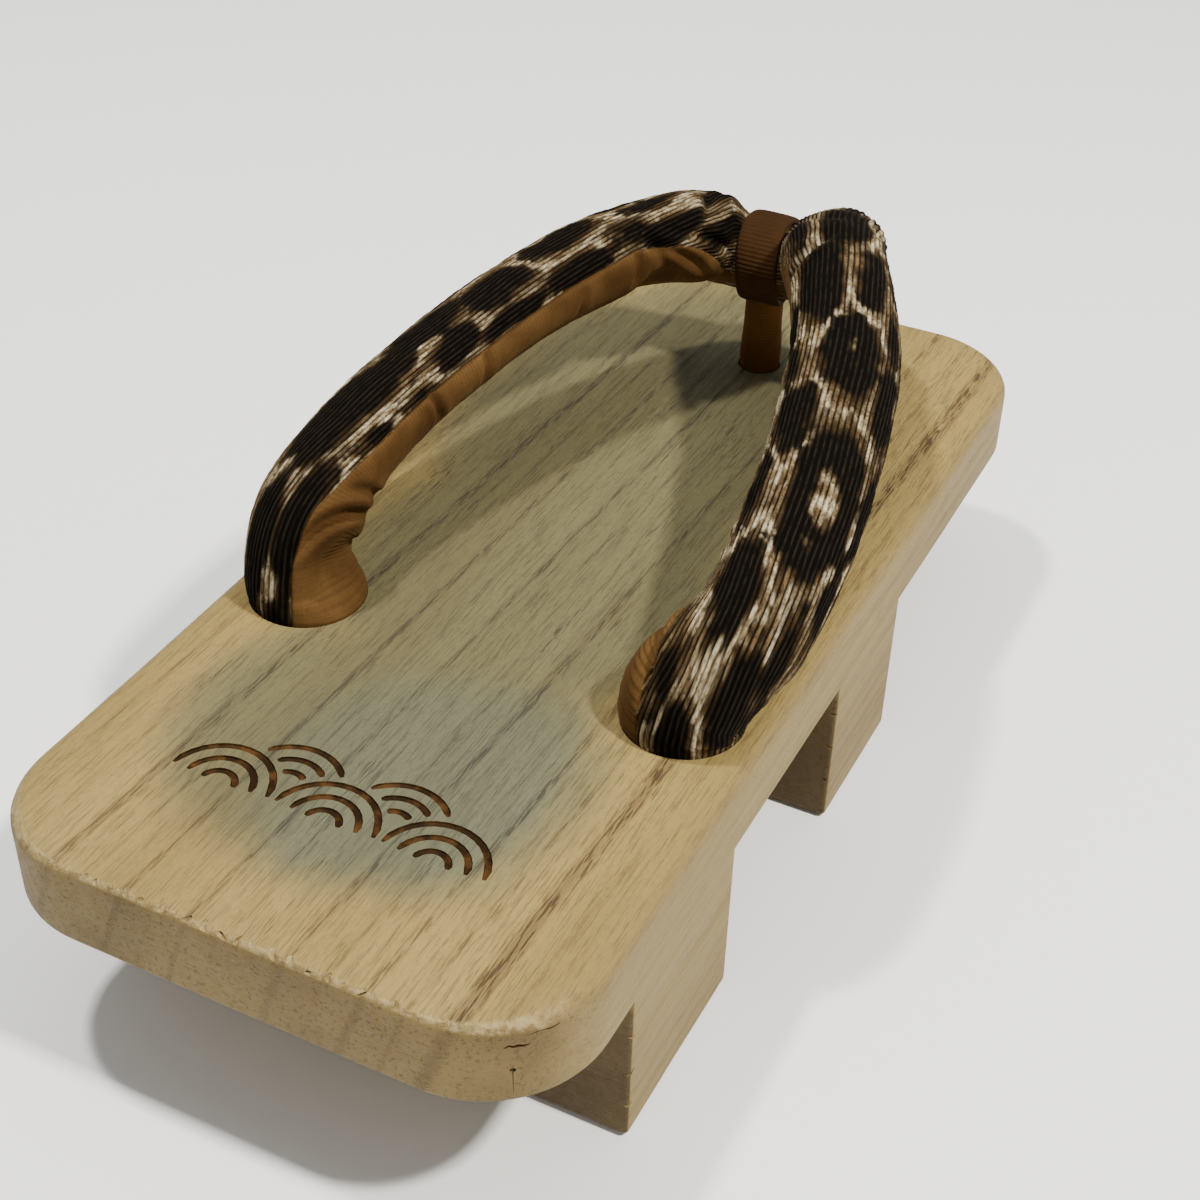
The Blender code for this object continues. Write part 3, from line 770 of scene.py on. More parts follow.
def rounding_of(low, high, turn):
    """How far an edge of the block is rounded, by its place and direction."""
    if turn < math.radians(30.0):
        return 0.0
    run = high - low
    along = abs(run.y) / run.length
    if min(low.z, high.z) > HEIGHT - 1e-5:
        return END_ROUNDING + (SIDE_ROUNDING - END_ROUNDING) * along
    if max(low.z, high.z) < 1e-5:
        return TOOTH_FOOT_ROUNDING
    if abs(run.z) > 1e-5:
        return TOOTH_CORNER_ROUNDING if max(low.z, high.z) < BOARD_UNDERSIDE + 1e-5 else 0.0
    at_tooth = any(abs(low.y - edge) < 1e-5 and abs(high.y - edge) < 1e-5
                   for span in tooth_spans() for edge in span)
    return 0.0 if at_tooth else UNDERSIDE_ROUNDING


def round_edges(block):
    """Ease the block's edges: its long sides most, its ends and underside least."""
    mesh = block.data
    faces_by_edge = {}
    for face in mesh.polygons:
        for key in face.edge_keys:
            faces_by_edge.setdefault(key, []).append(face.normal)
    weights = mesh.attributes.new("bevel_weight_edge", "FLOAT", "EDGE")
    for edge in mesh.edges:
        normals = faces_by_edge[tuple(sorted(edge.vertices))]
        turn = normals[0].angle(normals[1]) if len(normals) == 2 else 0.0
        low, high = (mesh.vertices[index].co for index in edge.vertices)
        weights.data[edge.index].value = rounding_of(low, high, turn) / SIDE_ROUNDING
    apply_modifier(block, "BEVEL", limit_method="WEIGHT", width=SIDE_ROUNDING,
                   segments=ROUNDING_SEGMENTS, use_clamp_overlap=False)


def plane_surface(block):
    """Give the planed surface its slight waves."""
    for step in range(1, int(LENGTH / PLANING_STEP_ALONG)):
        cut(block, (0.0, -LENGTH / 2 + step * PLANING_STEP_ALONG, 0.0), (0.0, 1.0, 0.0))
    for step in range(-4, 5):
        cut(block, (step * PLANING_STEP_ACROSS, 0.0, 0.0), (1.0, 0.0, 0.0))
    waves = bpy.data.textures.new("planing_waves", "CLOUDS")
    waves.noise_scale = 0.045
    apply_modifier(block, "DISPLACE", texture=waves, texture_coords="LOCAL",
                   strength=PLANING_WAVE, mid_level=0.5)
    for vertex in block.data.vertices:
        if vertex.co.z < TOOTH_FOOT_FLAT:
            vertex.co.z = 0.0


def hole_cutter(name, place, profile):
    """A cylinder whose foot is drawn in step by step, to bore one hole."""
    mouth = profile[0][1]
    bpy.ops.mesh.primitive_cylinder_add(vertices=48, radius=mouth, depth=HOLE_MARGIN * 4,
                                        location=(*place, HEIGHT + HOLE_MARGIN * 2))
    cutter = settle(named(name))
    pick(cutter, "FACE", lambda face: face.normal.z < -0.9)
    centre = (*place, HEIGHT)
    height, radius = 0.0, mouth
    for next_height, next_radius in profile[1:]:
        bpy.ops.mesh.extrude_region_move(TRANSFORM_OT_translate={"value": (0.0, 0.0, next_height - height)})
        share = next_radius / radius
        bpy.ops.transform.resize(value=(share, share, 1.0), center_override=centre)
        height, radius = next_height, next_radius
    leave_edit()
    return cutter


def bore_holes(block):
    """Bore the two rear bowls and the front hole."""
    bottom = -BOARD_THICKNESS - 4 * HOLE_MARGIN
    bowl = [(height, radius - FIT_GAP + FOOT_GAP) for height, radius in reversed(FOOT_PROFILE)]
    bowl[0] = (0.0, bowl[0][1])
    floor = FOOT_PROFILE[0][0]
    rear = bowl + [(floor - FIT_GAP, CORD_BORE_RADIUS), (bottom, CORD_BORE_RADIUS)]
    front = [(0.0, FRONT_HOLE_RADIUS), (bottom, FRONT_HOLE_RADIUS)]
    subtract(block, hole_cutter("rear_bore_right", (REAR_HOLE_SPREAD, REAR_HOLE_Y), rear))
    subtract(block, hole_cutter("rear_bore_left", (-REAR_HOLE_SPREAD, REAR_HOLE_Y), rear))
    subtract(block, hole_cutter("front_bore", (FRONT_HOLE_X, FRONT_HOLE_Y), front))


def stroke(name, points, radii):
    """One groove's cutter: a round bar along points, thinner at its ends."""
    curve = bpy.data.curves.new(name, "CURVE")
    curve.dimensions = "3D"
    curve.bevel_depth = 1.0
    curve.bevel_resolution = 2
    curve.use_fill_caps = True
    spline = curve.splines.new("POLY")
    spline.points.add(len(points) - 1)
    for point, place, radius in zip(spline.points, points, radii):
        point.co = (*place, 1.0)
        point.radius = radius
    item = bpy.data.objects.new(name, curve)
    bpy.context.scene.collection.objects.link(item)
    activate(item)
    bpy.ops.object.convert(target="MESH")
    bpy.ops.object.mode_set(mode="EDIT")
    bpy.ops.mesh.select_all(action="SELECT")
    bpy.ops.mesh.remove_doubles(threshold=1e-6)
    bpy.ops.mesh.normals_make_consistent(inside=False)
    leave_edit()
    return item


def burn_waves(block):
    """Burn a patch of waves into the foot bed, behind the strap."""
    strokes = []
    rows = ((0.0, FRONT_WAVES), (WAVE_RADIUS / 2, BACK_WAVES))
    for row, (shift, waves) in enumerate(rows):
        for wave in waves:
            centre_x = MARK_CENTRE[0] + wave * 2 * WAVE_RADIUS
            centre_y = MARK_CENTRE[1] + shift
            for arc, (share, *starts) in enumerate(WAVE_ARCS):
                points = []
                start = starts[row]
                for step in range(ARC_STEPS + 1):
                    turn = math.radians(start + (180.0 - 2 * start) * step / ARC_STEPS)
                    points.append((centre_x + share * WAVE_RADIUS * math.cos(turn),
                                   centre_y + share * WAVE_RADIUS * math.sin(turn),
                                   HEIGHT + GROOVE_LIFT))
                radii = [GROOVE_RADIUS] * len(points)
                radii[0] = radii[-1] = GROOVE_RADIUS * 0.55
                strokes.append(stroke(f"stroke_{row}_{arc}_{wave}", points, radii))
    # The cracks share the burnt finish, so their walls are painted near black: painted shade in the cracks
    strokes.extend(corner_cracks())
    cutter = join(strokes, "strokes")
    cutter.data.materials.append(burnt_wood_and_crack_shade)
    apply_modifier(block, "BOOLEAN", operation="DIFFERENCE", solver="MANIFOLD", object=cutter,
                   material_mode="TRANSFER")
    remove(cutter)


def corner_cracks():
    """Strokes for the small cracks that follow the heel's right corner."""
    centre_x = HEEL_WIDTH / 2 - CORNER_RADIUS
    centre_y = sole_low.y + CORNER_RADIUS
    cracks = []
    for index, (start, end, height, radius) in enumerate(CORNER_CRACKS):
        turns = np.radians(np.linspace(start, end, ARC_STEPS + 1))
        wander = 0.0005 * (patchy(np.arange(ARC_STEPS + 1) / 2.5, np.full(ARC_STEPS + 1, float(index)), 31) - 0.5)
        points = np.stack([centre_x + CORNER_RADIUS * np.cos(turns),
                           centre_y + CORNER_RADIUS * np.sin(turns),
                           height + wander], axis=1)
        radii = radius * (1.0 - 0.75 * np.abs(np.linspace(-1.0, 1.0, ARC_STEPS + 1)) ** 2)
        cracks.append(stroke(f"crack_{index}", points, radii))
    return cracks


def wear_edges(block):
    """Chip the heel's top edge and nick the teeth, with small splinters taken out."""
    random = np.random.default_rng(7)
    chips = []
    run = HEEL_WIDTH / 2 - CORNER_RADIUS * 0.7
    for index in range(CHIPS):
        across = -run + 2 * run * (index + random.uniform(0.2, 0.8)) / CHIPS
        place = (across, sole_low.y + random.uniform(0.0000, 0.0005), HEIGHT - random.uniform(0.0001, 0.0006))
        chips.append(chip(index, place, random))
    for index in range(TOOTH_NICKS):
        back = (REAR_TOOTH[0], FRONT_TOOTH[0])[index % 2]
        side = (-1.0, 1.0)[index // 2 % 2] * HEEL_WIDTH / 2
        low = 0.003 + (BOARD_UNDERSIDE - 0.008) * (index + random.uniform(0.3, 0.7)) / TOOTH_NICKS
        chips.append(chip(CHIPS + index, (side, back, low), random))
    subtract(block, join(chips, "chips"))


def chip(index, place, random):
    """A small uneven lump that takes one splinter out of an edge."""
    bpy.ops.mesh.primitive_ico_sphere_add(subdivisions=2, radius=1.0, location=place)
    lump = named(f"chip_{index}")
    lump.scale = (random.uniform(0.0004, 0.0011), random.uniform(0.0009, 0.0022), random.uniform(0.0002, 0.0004))
    lump.rotation_euler = (random.uniform(0.2, 0.6), random.uniform(-0.5, 0.5), random.uniform(-0.5, 0.5))
    return settle(lump)


def make_sole():
    """The sole, cut from one block and burnt."""
    block = shape_block()
    block.data.materials.append(clean_wood)
    block.data.materials.append(burnt_wood_and_crack_shade)
    round_edges(block)
    plane_surface(block)
    bore_holes(block)
    burn_waves(block)
    wear_edges(block)
    activate(block)
    bpy.ops.object.shade_smooth_by_angle(angle=math.radians(28.0))
    return block


def smooth_rows(rows, steps):
    """Read extra rows off a smooth curve through the given ones, by chord length."""
    rows = np.array(rows, float)
    chords = np.linalg.norm(np.diff(rows[:, :3], axis=0), axis=1)
    places = np.concatenate([[0.0], np.cumsum(chords)])
    last = len(rows) - 1
    ahead = np.minimum(np.arange(len(rows)) + 1, last)
    behind = np.maximum(np.arange(len(rows)) - 1, 0)
    slopes = (rows[ahead] - rows[behind]) / (places[ahead] - places[behind])[:, None]
    result = []
    for index in range(last):
        span = places[index + 1] - places[index]
        for step in range(steps):
            t = step / steps
            ease = t * t * (3.0 - 2.0 * t)
            result.append(rows[index] * (1.0 - ease) + rows[index + 1] * ease
                          + slopes[index] * span * t * (1.0 - t) ** 2
                          - slopes[index + 1] * span * t * t * (1.0 - t))
    result.append(rows[-1])
    return np.array(result)


def strap_sections():
    """Smooth sections of the whole strap, from the right foot over the front to the left foot."""
    foot = [(REAR_HOLE_SPREAD, REAR_HOLE_Y, height, radius - FIT_GAP, radius - FIT_GAP, 0.0, FOOT_ROLL)
            for height, radius in FOOT_PROFILE]
    right = []
    for row in foot + list(ARM_SECTIONS):
        share = (row[2] - LEAN_START) / (LEAN_END - LEAN_START)
        right.append((*row, STRAP_LEAN * min(1.0, max(0.0, share))))
    left = [(-row[0], *row[1:5], 180.0 - row[5], *row[6:]) for row in reversed(right)]
    rows = smooth_rows(right + [(*STRAP_MIDDLE, STRAP_LEAN)] + left, SECTION_STEPS)
    rows[:, 0] += rows[:, 7]
    rows[:, 2] += HEIGHT
    return rows


def unit(vectors):
    """Scale vectors to length one."""
    return vectors / np.linalg.norm(vectors, axis=-1, keepdims=True)


class Strap:
    """The padded strap's surface, read at any place along and angle round it."""

    def __init__(self):
        rows = strap_sections()
        self.centres = rows[:, :3]
        steps = np.linalg.norm(np.diff(self.centres, axis=0), axis=1)
        self.places = np.concatenate([[0.0], np.cumsum(steps)])
        self.length = self.places[-1]
        along = unit(np.gradient(self.centres, axis=0))
        facing, roll = np.radians(rows[:, 5]), np.radians(rows[:, 6])[:, None]
        outer = np.stack([np.cos(facing), np.sin(facing), np.zeros_like(facing)], axis=1)
        outer = unit(outer - along * np.sum(outer * along, axis=1, keepdims=True))
        upper = np.cross(outer, along)
        self.face = upper * np.cos(roll) + outer * np.sin(roll)
        self.width = np.cross(along, self.face)
        self.half_width, self.half_thickness = rows[:, 3], rows[:, 4]

    def read(self, values, along):
        """Read values of the sections at places along the strap."""
        if values.ndim == 1:
            return np.interp(along, self.places, values)
        return np.stack([np.interp(along, self.places, values[:, axis]) for axis in range(3)], axis=-1)

    def grid(self, along, degrees):
        """Points at each place along, in metres, and angle round; degrees may differ by row."""
        degrees = np.broadcast_to(degrees, (len(along), np.shape(degrees)[-1]))
        turn = np.radians(degrees)
        centre = self.read(self.centres, along)[:, None]
        width = unit(self.read(self.width, along))[:, None]
        face = unit(self.read(self.face, along))[:, None]
        across = (self.read(self.half_width, along)[:, None] * np.cos(turn))[..., None]
        lift = (self.read(self.half_thickness, along)[:, None] * np.sin(turn))[..., None]
        return centre + width * across + face * lift

    def outward(self, along, degrees):
        """Directions square to the surface, over the same grid."""
        degrees = np.broadcast_to(degrees, (len(along), np.shape(degrees)[-1]))
        turn = np.radians(degrees)
        width = unit(self.read(self.width, along))[:, None]
        face = unit(self.read(self.face, along))[:, None]
        across = (np.cos(turn) / self.read(self.half_width, along)[:, None])[..., None]
        lift = (np.sin(turn) / self.read(self.half_thickness, along)[:, None])[..., None]
        return unit(width * across + face * lift)


def angle_from(degrees, centre):
    """Signed distance round the section, in degrees."""
    return (degrees - centre + 180.0) % 360.0 - 180.0


def relief(along, degrees):
    """How far creases, swellings and small puckers move the strap's surface, in metres."""
    place = along[:, None] / MM
    degrees = np.broadcast_to(degrees, (len(along), np.shape(degrees)[-1]))
    rise = np.zeros(degrees.shape)
    for centre, angle, half_length, lean, breadth, depth in CREASES:
        round_it = angle_from(degrees, angle)
        window = 1.0 - smooth_share(0.35 * half_length, half_length, np.abs(round_it))
        off = (place - centre - lean * round_it / 90.0) / breadth
        rise -= depth * window * np.exp(-off * off)
        ridge_frost_and_sheen = np.exp(-((np.abs(off) - 2.1) / 1.1) ** 2)
        rise += 0.38 * depth * window * ridge_frost_and_sheen
    for centre, angle, half_length, half_height, height in SWELLS:
        off = ((place - centre) / half_length) ** 2 + (angle_from(degrees, angle) / half_height) ** 2
        rise += height * np.exp(-1.6 * off)
    pucker = patchy(place / 7.0, degrees / 30.0, 3) - 0.5 + 0.6 * (patchy(place / 3.1, degrees / 24.0, 4) - 0.5)
    rise += 0.30 * pucker
    return rise * MM * free_share(place)


def free_share(place):
    """1 on the free arms, 0 in the holes and under the thong's band."""
    ends = smooth_share(13.0, 17.0, place) * (1.0 - smooth_share(324.5, 328.5, place))
    middle = smooth_share(5.5, 10.0, np.abs(place - STRAP_MIDDLE_PLACE / MM))
    return ends * middle


def seam_degrees(along):
    """Angles of the inner and the outer seam at each place along."""
    table = np.array(SEAMS)
    place = along / MM
    return np.interp(place, table[:, 0], table[:, 1]), np.interp(place, table[:, 0], table[:, 2])


def leopard_print(place, degrees):
    """Black, cream and tan of the print at each point of a grid, dragged out along the ribs."""
    rib = np.floor(degrees / (360.0 / RIBS))
    ragged = (patchy(rib * 1.37, place / 3.0, 11) - 0.5) * 3.0
    ragged += (patchy(rib * 2.11, place / 0.8, 12) - 0.5) * 2.8
    wavy = (patchy(place / 6.0, degrees / 22.0, 13) - 0.5) * 3.2
    wavy += (patchy(place / 2.6, degrees / 11.0, 19) - 0.5) * 2.0
    nearest, second = np.full(place.shape, 99.0), np.full(place.shape, 99.0)
    heart, rim = np.zeros(place.shape), np.zeros(place.shape)
    for centre, angle, half_length, half_height, share in SPOTS + HIDDEN_SPOTS:
        off_along = np.abs((place + ragged - centre) / half_length)
        off_round = np.abs(angle_from(degrees, angle) / half_height)
        distance = (off_along ** 2.4 + off_round ** 2.4) ** (1.0 / 2.4) - 1.0
        distance = distance * math.sqrt(half_length * half_height * DEGREE_SPAN) + wavy
        if share:
            inside = np.hypot(off_along, off_round * 1.25) + 0.10 * wavy
            heart = np.maximum(heart, 1.0 - smooth_share(share * 0.80, share * 1.15, inside))
            rim = np.maximum(rim, 1.0 - smooth_share(share * 1.15, share * 1.60, inside))
        second = np.minimum(second, np.maximum(nearest, distance))
        nearest = np.minimum(nearest, distance)
    black = (1.0 - smooth_share(-0.9, 0.5, nearest)) * (1.0 - np.maximum(heart, 0.75 * rim))
    broken = 0.6 * patchy(rib * 1.91, place / 6.5, 14) + 0.4 * patchy(rib * 1.53, place / 1.6, 18)
    between = (1.0 - smooth_share(1.2, 3.2, second - nearest)) * smooth_share(0.1, 1.1, nearest)
    cream = between * smooth_share(0.22, 0.52, broken)
    cream = np.maximum(cream, smooth_share(1.8, 3.2, nearest) * smooth_share(0.52, 0.70, broken))
    cream *= 0.22 + 0.78 * smooth_share(0.30, 0.56, patchy(place / 8.0, degrees / 38.0, 20))
    cream = np.maximum(cream, heart * smooth_share(0.25, 0.55, patchy(rib * 1.7, place / 3.0, 15)))
    tan = smooth_share(0.0, 2.0, nearest) * smooth_share(0.12, 0.62, patchy(rib * 2.3, place / 4.0, 16))
    tan = np.maximum(tan, rim * 0.8)
    return black, cream, tan


def wrapped_piece(name, points, cloth):
    """A grid primitive wrapped round as a closed tube, with its cloth coordinates in metres."""
    rows, columns = points.shape[:2]
    deselect()
    bpy.ops.mesh.primitive_grid_add(x_subdivisions=columns - 1, y_subdivisions=rows - 1, size=1.0)
    piece = named(name)
    mesh = piece.data
    mesh.vertices.foreach_set("co", points.astype(np.float32).ravel())
    corners = np.zeros(len(mesh.loops), np.int32)
    mesh.loops.foreach_get("vertex_index", corners)
    mesh.uv_layers[0].name = "cloth"
    mesh.uv_layers["cloth"].uv.foreach_set("vector", cloth.reshape(-1, 2)[corners].astype(np.float32).ravel())
    mesh.update()
    return piece


def add_colours(piece, name, *values):
    """Store four values at each vertex under a name that the finish reads."""
    layer = piece.data.attributes.new(name, "FLOAT_COLOR", "POINT")
    layer.data.foreach_set("color", np.stack(values, axis=-1).astype(np.float32).ravel())


def close_tube(piece):
    """Weld the tube's seam and close its two ends, faces outwards."""
    activate(piece)
    bpy.ops.object.mode_set(mode="EDIT")
    bpy.ops.mesh.select_all(action="SELECT")
    bpy.ops.mesh.remove_doubles(threshold=1e-6)
    bpy.ops.mesh.fill_holes(sides=0)
    bpy.ops.mesh.select_all(action="SELECT")
    bpy.ops.mesh.normals_make_consistent(inside=False)
    leave_edit()
    bpy.ops.object.shade_smooth()
    return piece


def make_cover():
    """The padded strap in its corduroy cover, with its ribs along the strap."""
    along = np.linspace(0.0, strap.length, COVER_ROWS)
    degrees = np.linspace(0.0, 360.0, RIBS * POINTS_PER_RIB + 1)
    place, angles = np.meshgrid(along / MM, degrees, indexing="ij")
    crest = 0.5 - 0.5 * np.cos(np.radians(angles) * RIBS)
    inner, outer = seam_degrees(along)
    lining_middle, lining_half = (inner + outer)[:, None] / 2, (outer - inner)[:, None] / 2
    past_seam = lining_half - np.abs(angle_from(angles, lining_middle))
    ribbed = 1.0 - smooth_share(2.0, 8.0, past_seam)
    seam_dip = np.exp(-(past_seam / 5.5) ** 2)
    tufts = 0.75 + 0.5 * patchy(np.floor(angles * RIBS / 360.0) * 3.3, place / 0.9, 17)
    rise = relief(along, degrees) + RIB_RELIEF * (crest ** 0.75 * tufts - 0.5) * ribbed * rib_share(place)
    rise -= seam_dip * 0.0006 * free_share(place)
    rise -= smooth_share(0.0, 12.0, past_seam) * LINING_SINK
    points = strap.grid(along, degrees) + strap.outward(along, degrees) * rise[..., None]
    points[:, -1] = points[:, 0]
    cloth = np.stack([place * MM, angles / 360.0 * 0.064], axis=-1)
    piece = wrapped_piece("leopard_cover", points, cloth)
    add_colours(piece, "print", *leopard_print(place, angles), crest)
    return close_tube(piece)


def rib_share(place):
    """Ribs flatten where the strap is squeezed under the band and in its holes."""
    return 0.35 + 0.65 * free_share(place)


def make_lining():
    """The lining under the strap, a filled crescent sewn in between the two seams."""
    along = np.linspace(0.0, strap.length, LINING_ROWS)
    inner, outer = seam_degrees(along)
    shown = LINING_COLUMNS * 3 // 4
    front = np.linspace(0.0, 1.0, shown)
    back = np.linspace(1.0, 0.0, LINING_COLUMNS - shown + 2)[1:-1]
    share = np.concatenate([front, back])
    degrees = inner[:, None] + (outer - inner)[:, None] * share
    crown = np.sin(np.pi * front) ** 0.45
    rise = np.concatenate([LINING_RISE * (crown - 0.72), np.full(len(back), -LINING_DEPTH)])
    rib = np.cos(2.0 * math.pi * along / LINING_RIB_PITCH)[:, None] * LINING_RIB_RELIEF
    in_front = np.concatenate([crown, np.zeros(len(back))])
    rib *= 1.0 + FOOT_RIBS * (1.0 - smooth_share(20.0, 32.0, along / MM) * (1.0 - smooth_share(312.0, 322.0, along / MM)))[:, None]
    total = relief(along, degrees) + (rise + rib * in_front) * (0.25 + 0.75 * free_share(along[:, None] / MM))
    points = strap.grid(along, degrees) + strap.outward(along, degrees) * total[..., None]
    points = np.concatenate([points, points[:, :1]], axis=1)
    columns = np.arange(points.shape[1]) * 0.0011
    cloth = np.stack(np.meshgrid(along, columns, indexing="ij"), axis=-1)
    return close_tube(wrapped_piece("velvet_lining", points, cloth))


def make_band():
    """The thong's band: a flat velvet ribbon with fine ribs, once round the strap's middle."""
    centre = np.array([STRAP_LEAN, STRAP_MIDDLE[1], HEIGHT + STRAP_MIDDLE[2]])
    turns = np.linspace(0.0, 2.0 * math.pi, BAND_TURNS + 1)
    outward = np.stack([np.zeros_like(turns), np.cos(turns), np.sin(turns)], axis=1)
    middle = FIT_GAP + BAND_THICKNESS / 2
    reach = np.array([0.0, STRAP_MIDDLE[4] + middle, STRAP_MIDDLE[3] + middle])
    angles = np.linspace(0.0, 2.0 * math.pi, BAND_COLUMNS + 1)
    across = np.sign(np.cos(angles)) * np.abs(np.cos(angles)) ** 0.6 * BAND_WIDTH / 2
    lift = np.sign(np.sin(angles)) * np.abs(np.sin(angles)) ** 0.6 * BAND_THICKNESS / 2
    rib = np.cos(turns * BAND_RIBS)[:, None] * BAND_RIB_RELIEF * np.maximum(0.0, np.sin(angles)) ** 0.4
    puff = 0.00025 * (patchy(turns[:, None] * 3.0, angles[None] * 1.3, 21) - 0.5)
    points = centre + outward[:, None] * reach + np.zeros((len(turns), len(angles), 3))
    points[..., 0] += across + 0.0004 * np.sin(turns * 2.0 + 0.6)[:, None]
    points += outward[:, None] * (lift + rib + puff)[..., None]
    points[-1] = points[0]
    points[:, -1] = points[:, 0]
    cloth = np.stack(np.meshgrid(turns * STRAP_MIDDLE[3], angles * 0.0035, indexing="ij"), axis=-1)
    return close_tube(wrapped_piece("thong_band", points, cloth))


def make_stem():
    """The thong's stem, a covered cord from the band down into its hole."""
    rows = []
    for height, across, along, lean in STEM_SECTIONS:
        place_x = FRONT_HOLE_X + (STRAP_LEAN - FRONT_HOLE_X) * lean
        place_y = FRONT_HOLE_Y + (STRAP_MIDDLE[1] - FRONT_HOLE_Y) * lean
        rows.append((place_x, place_y, HEIGHT + height, across, along))
    rows = smooth_rows(rows, STEM_STEPS)
    angles = np.linspace(0.0, 2.0 * math.pi, STEM_COLUMNS + 1)
    down = np.concatenate([[0.0], np.cumsum(np.linalg.norm(np.diff(rows[:, :3], axis=0), axis=1))])
    fold = 1.0 + 0.05 * (patchy(down[:, None] / 0.006, angles[None] * 1.4, 22) - 0.5)
    seam = 1.0 - 0.07 * np.exp(-((angles - 4.4) / 0.13) ** 2)
    points = np.zeros((len(rows), len(angles), 3))
    points[..., 0] = rows[:, :1] + rows[:, 3:4] * np.cos(angles) * fold * seam
    points[..., 1] = rows[:, 1:2] + rows[:, 4:5] * np.sin(angles) * fold * seam
    points[..., 2] = rows[:, 2:3]
    points[:, -1] = points[:, 0]
    cloth = np.stack(np.meshgrid(down, angles * 0.0045, indexing="ij"), axis=-1)
    return close_tube(wrapped_piece("thong_stem", points, cloth))


def knot_route(side):
    """Points of a cord that drops through its hole and is tied in an overhand knot."""
    level = -BOARD_THICKNESS - FIT_GAP - KNOT_DEPTH - CORD_RADIUS
    turns = np.pi + KNOT_OPENING + 2.0 * (np.pi - KNOT_OPENING) * np.arange(KNOT_ROWS + 1) / KNOT_ROWS
    loops = np.stack([
        KNOT_SPREAD * (np.sin(turns) + 2.0 * np.sin(2.0 * turns)),
        KNOT_SPREAD * (np.cos(turns) - 2.0 * np.cos(2.0 * turns)),
        level - KNOT_DEPTH * np.sin(3.0 * turns),
    ], axis=1)
    loops[:, :2] -= loops[0, :2]
    drop = [(0.0, 0.0, CORD_TOP), (0.0, 0.0, level + CORD_CURVE_START)]
    tail = loops[-1] + np.array(KNOT_TAIL)
    route = smooth_rows(np.concatenate([drop, loops[1:], tail]), KNOT_STEPS)
    return route * np.array([side, 1.0, 1.0])


def make_knot(name, place, side):
    """A tie cord of three twisted plies with its knot."""
    route = knot_route(side) + np.array([*place, HEIGHT])
    along = unit(np.gradient(route, axis=0))
    down = np.concatenate([[0.0], np.cumsum(np.linalg.norm(np.diff(route, axis=0), axis=1))])
    normal = np.zeros_like(route)
    normal[0] = (1.0, 0.0, 0.0)
    for index in range(1, len(route)):
        carried = normal[index - 1] - along[index] * np.dot(normal[index - 1], along[index])
        normal[index] = carried / np.linalg.norm(carried)
    beside = np.cross(along, normal)
    plies = []
    for ply in range(PLIES):
        turn = (2.0 * np.pi * (down / TWIST_PITCH + ply / PLIES))[:, None]
        centre = route + (normal * np.cos(turn) + beside * np.sin(turn)) * (CORD_RADIUS - PLY_RADIUS)
        plies.append(stroke(f"{name}_ply_{ply}", centre, [PLY_RADIUS] * len(centre)))
    knot = join(plies, name)
    bpy.ops.object.shade_smooth()
    return knot


def dress(piece, material, slot, *nodes):
    """Give a piece its finish and tie it to the frame."""
    piece.data.materials.clear()
    piece.data.materials.append(material)
    ride(piece, slot, *nodes)


def ride(piece, slot, *nodes):
    """Tie a piece to the frame in place of the nodes that it stands for."""
    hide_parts(*nodes)
    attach(piece, "root")


def make_camera():
    """The photo's place and roll, turned to frame the one sandal."""
    forward, right = Vector(CAMERA_FORWARD).normalized(), Vector(CAMERA_RIGHT)
    right = (right - forward * right.dot(forward)).normalized()
    up = right.cross(forward)
    turned = Matrix((right, up, -forward)).transposed()
    aim = (Vector(CAMERA_AIM) - Vector(CAMERA_PLACE)).normalized()
    turned = forward.rotation_difference(aim).to_matrix() @ turned
    bpy.ops.object.camera_add(location=CAMERA_PLACE)
    camera = bpy.context.object
    camera.rotation_euler = turned.to_euler()
    camera.data.lens = CAMERA_LENS
    camera.data.sensor_width = SENSOR_WIDTH
    camera.data.clip_start = 0.01
    bpy.context.scene.camera = camera


def make_light(name, place, size, power, colour):
    """A soft square light that looks at the sandal."""
    bpy.ops.object.light_add(type="AREA", location=place)
    light = bpy.context.object
    light.name = name
    light.data.shape = "SQUARE"
    light.data.size = size
    light.data.energy = power
    light.data.color = colour
    light.rotation_euler = Vector(place).to_track_quat("Z", "Y").to_euler()


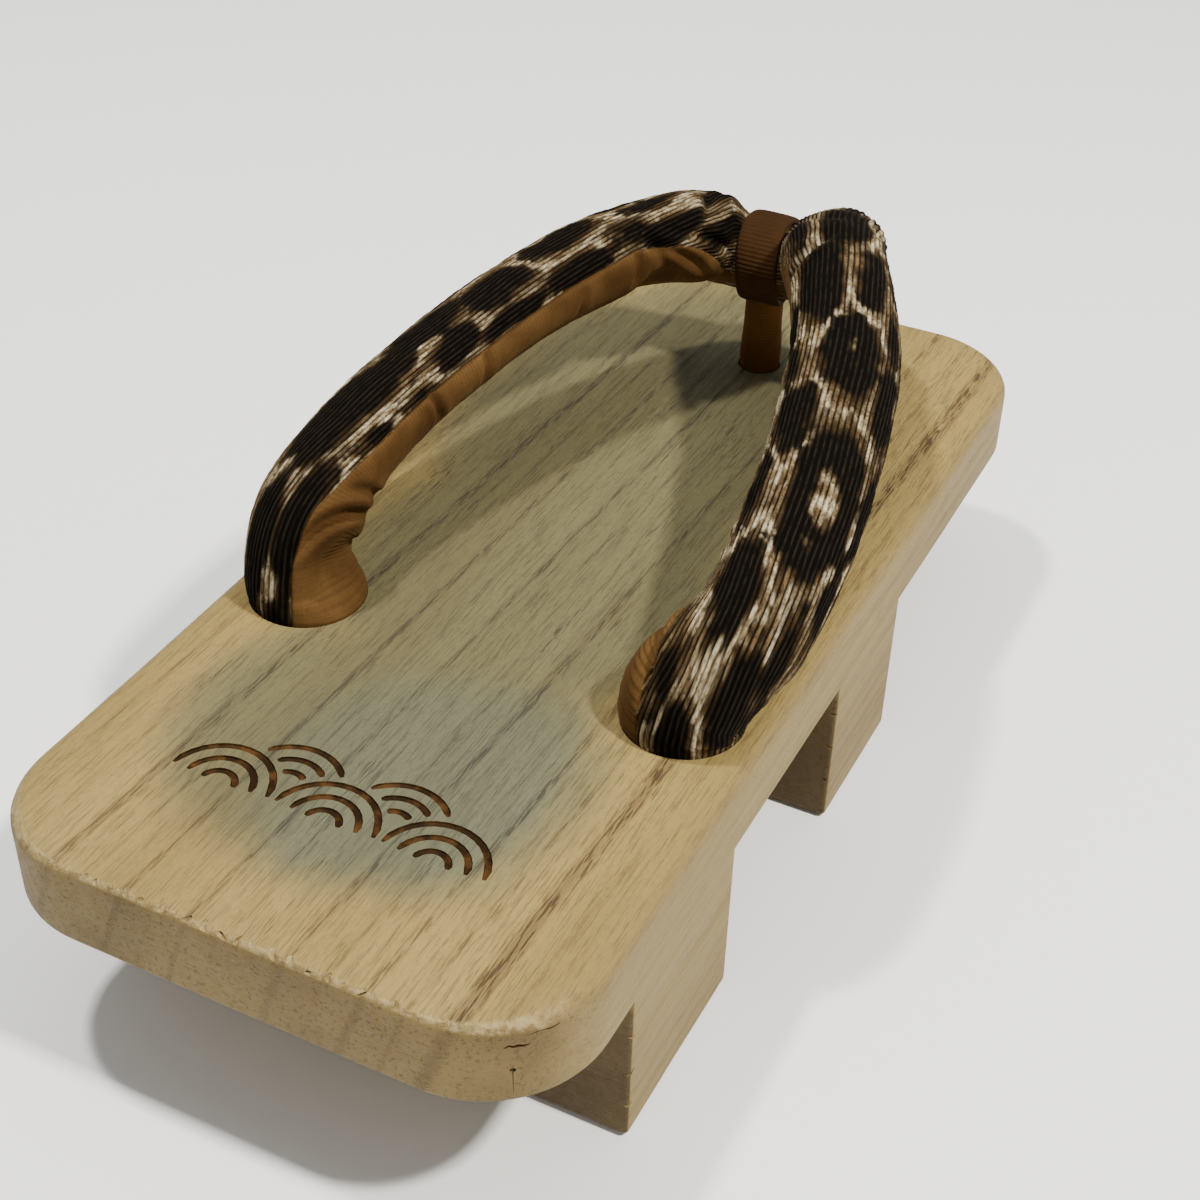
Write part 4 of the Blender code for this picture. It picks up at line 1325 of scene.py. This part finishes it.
def make_stage():
    """A pale floor, soft light and a pale surround."""
    deselect()
    bpy.ops.mesh.primitive_plane_add(size=6.0, location=(0.0, 0.0, 0.0))
    floor = named("floor")
    paper = Finish("pale_floor", 0.9, 0.1)
    tone = paper.noise(paper.object_place((3.0, 3.0, 3.0)), 1.0, 2.0)
    paper.shade(Base_Color=paper.mix(tone, (0.93, 0.93, 0.92), (0.95, 0.95, 0.94)))
    floor.data.materials.append(paper.material)
    make_light("right_light", (0.76, -0.10, 1.15), 0.09, 26.0, (1.0, 0.97, 0.91))
    make_light("left_light", (-0.36, -0.08, 1.25), 0.09, 14.0, (1.0, 0.98, 0.94))
    make_light("top_light", (0.0, 0.30, 1.60), 1.20, 6.0, (0.94, 0.97, 1.0))
    world = bpy.data.worlds.new("surround")
    bpy.context.scene.world = world
    world.use_nodes = True
    world.node_tree.nodes["Background"].inputs["Color"].default_value = (0.95, 0.97, 1.0, 1.0)
    world.node_tree.nodes["Background"].inputs["Strength"].default_value = 0.44


clean_wood = wood_finish("paulownia_wood")
burnt_wood_and_crack_shade = wood_finish("burnt_wood_and_crack_shade", burnt=True)
leopard = corduroy_finish()
lining_velvet = velvet_finish("lining_velvet", (0.056, 0.025, 0.006), (0.122, 0.062, 0.018), LINING_RIB_PITCH)
# One velvet in two copies: the band's is darker as painted shade, the stem's lighter as painted light
shaded_band_velvet = velvet_finish("shaded_band_velvet", (0.024, 0.010, 0.0026), (0.046, 0.020, 0.0055), 0.00079)
lit_stem_velvet = velvet_finish("lit_stem_velvet", (0.075, 0.029, 0.006), (0.130, 0.056, 0.012), 0.00079)
hemp = cord_finish()

sole = make_sole()
ride(sole, "paulownia_wood", "dai_sole")

strap = Strap()
STRAP_MIDDLE_PLACE = strap.length / 2
cover = make_cover()
dress(cover, leopard, "leopard_corduroy", "strap_upper")
lining = make_lining()
dress(lining, lining_velvet, "brown_velvet", "strap_upper")

dress(make_band(), shaded_band_velvet, "brown_velvet", "front_thong")
dress(make_stem(), lit_stem_velvet, "brown_velvet", "front_thong")
knots = (
    ("front_cord_knot", "front_knot", (FRONT_HOLE_X, FRONT_HOLE_Y), 1),
    ("right_cord_knot", "rear_knot_right", (REAR_HOLE_SPREAD, REAR_HOLE_Y), -1),
    ("left_cord_knot", "rear_knot_left", (-REAR_HOLE_SPREAD, REAR_HOLE_Y), 1),
)
for name, node, place, side in knots:
    dress(make_knot(name, place, side), hemp, "tie_cord", node)

make_camera()
make_stage()
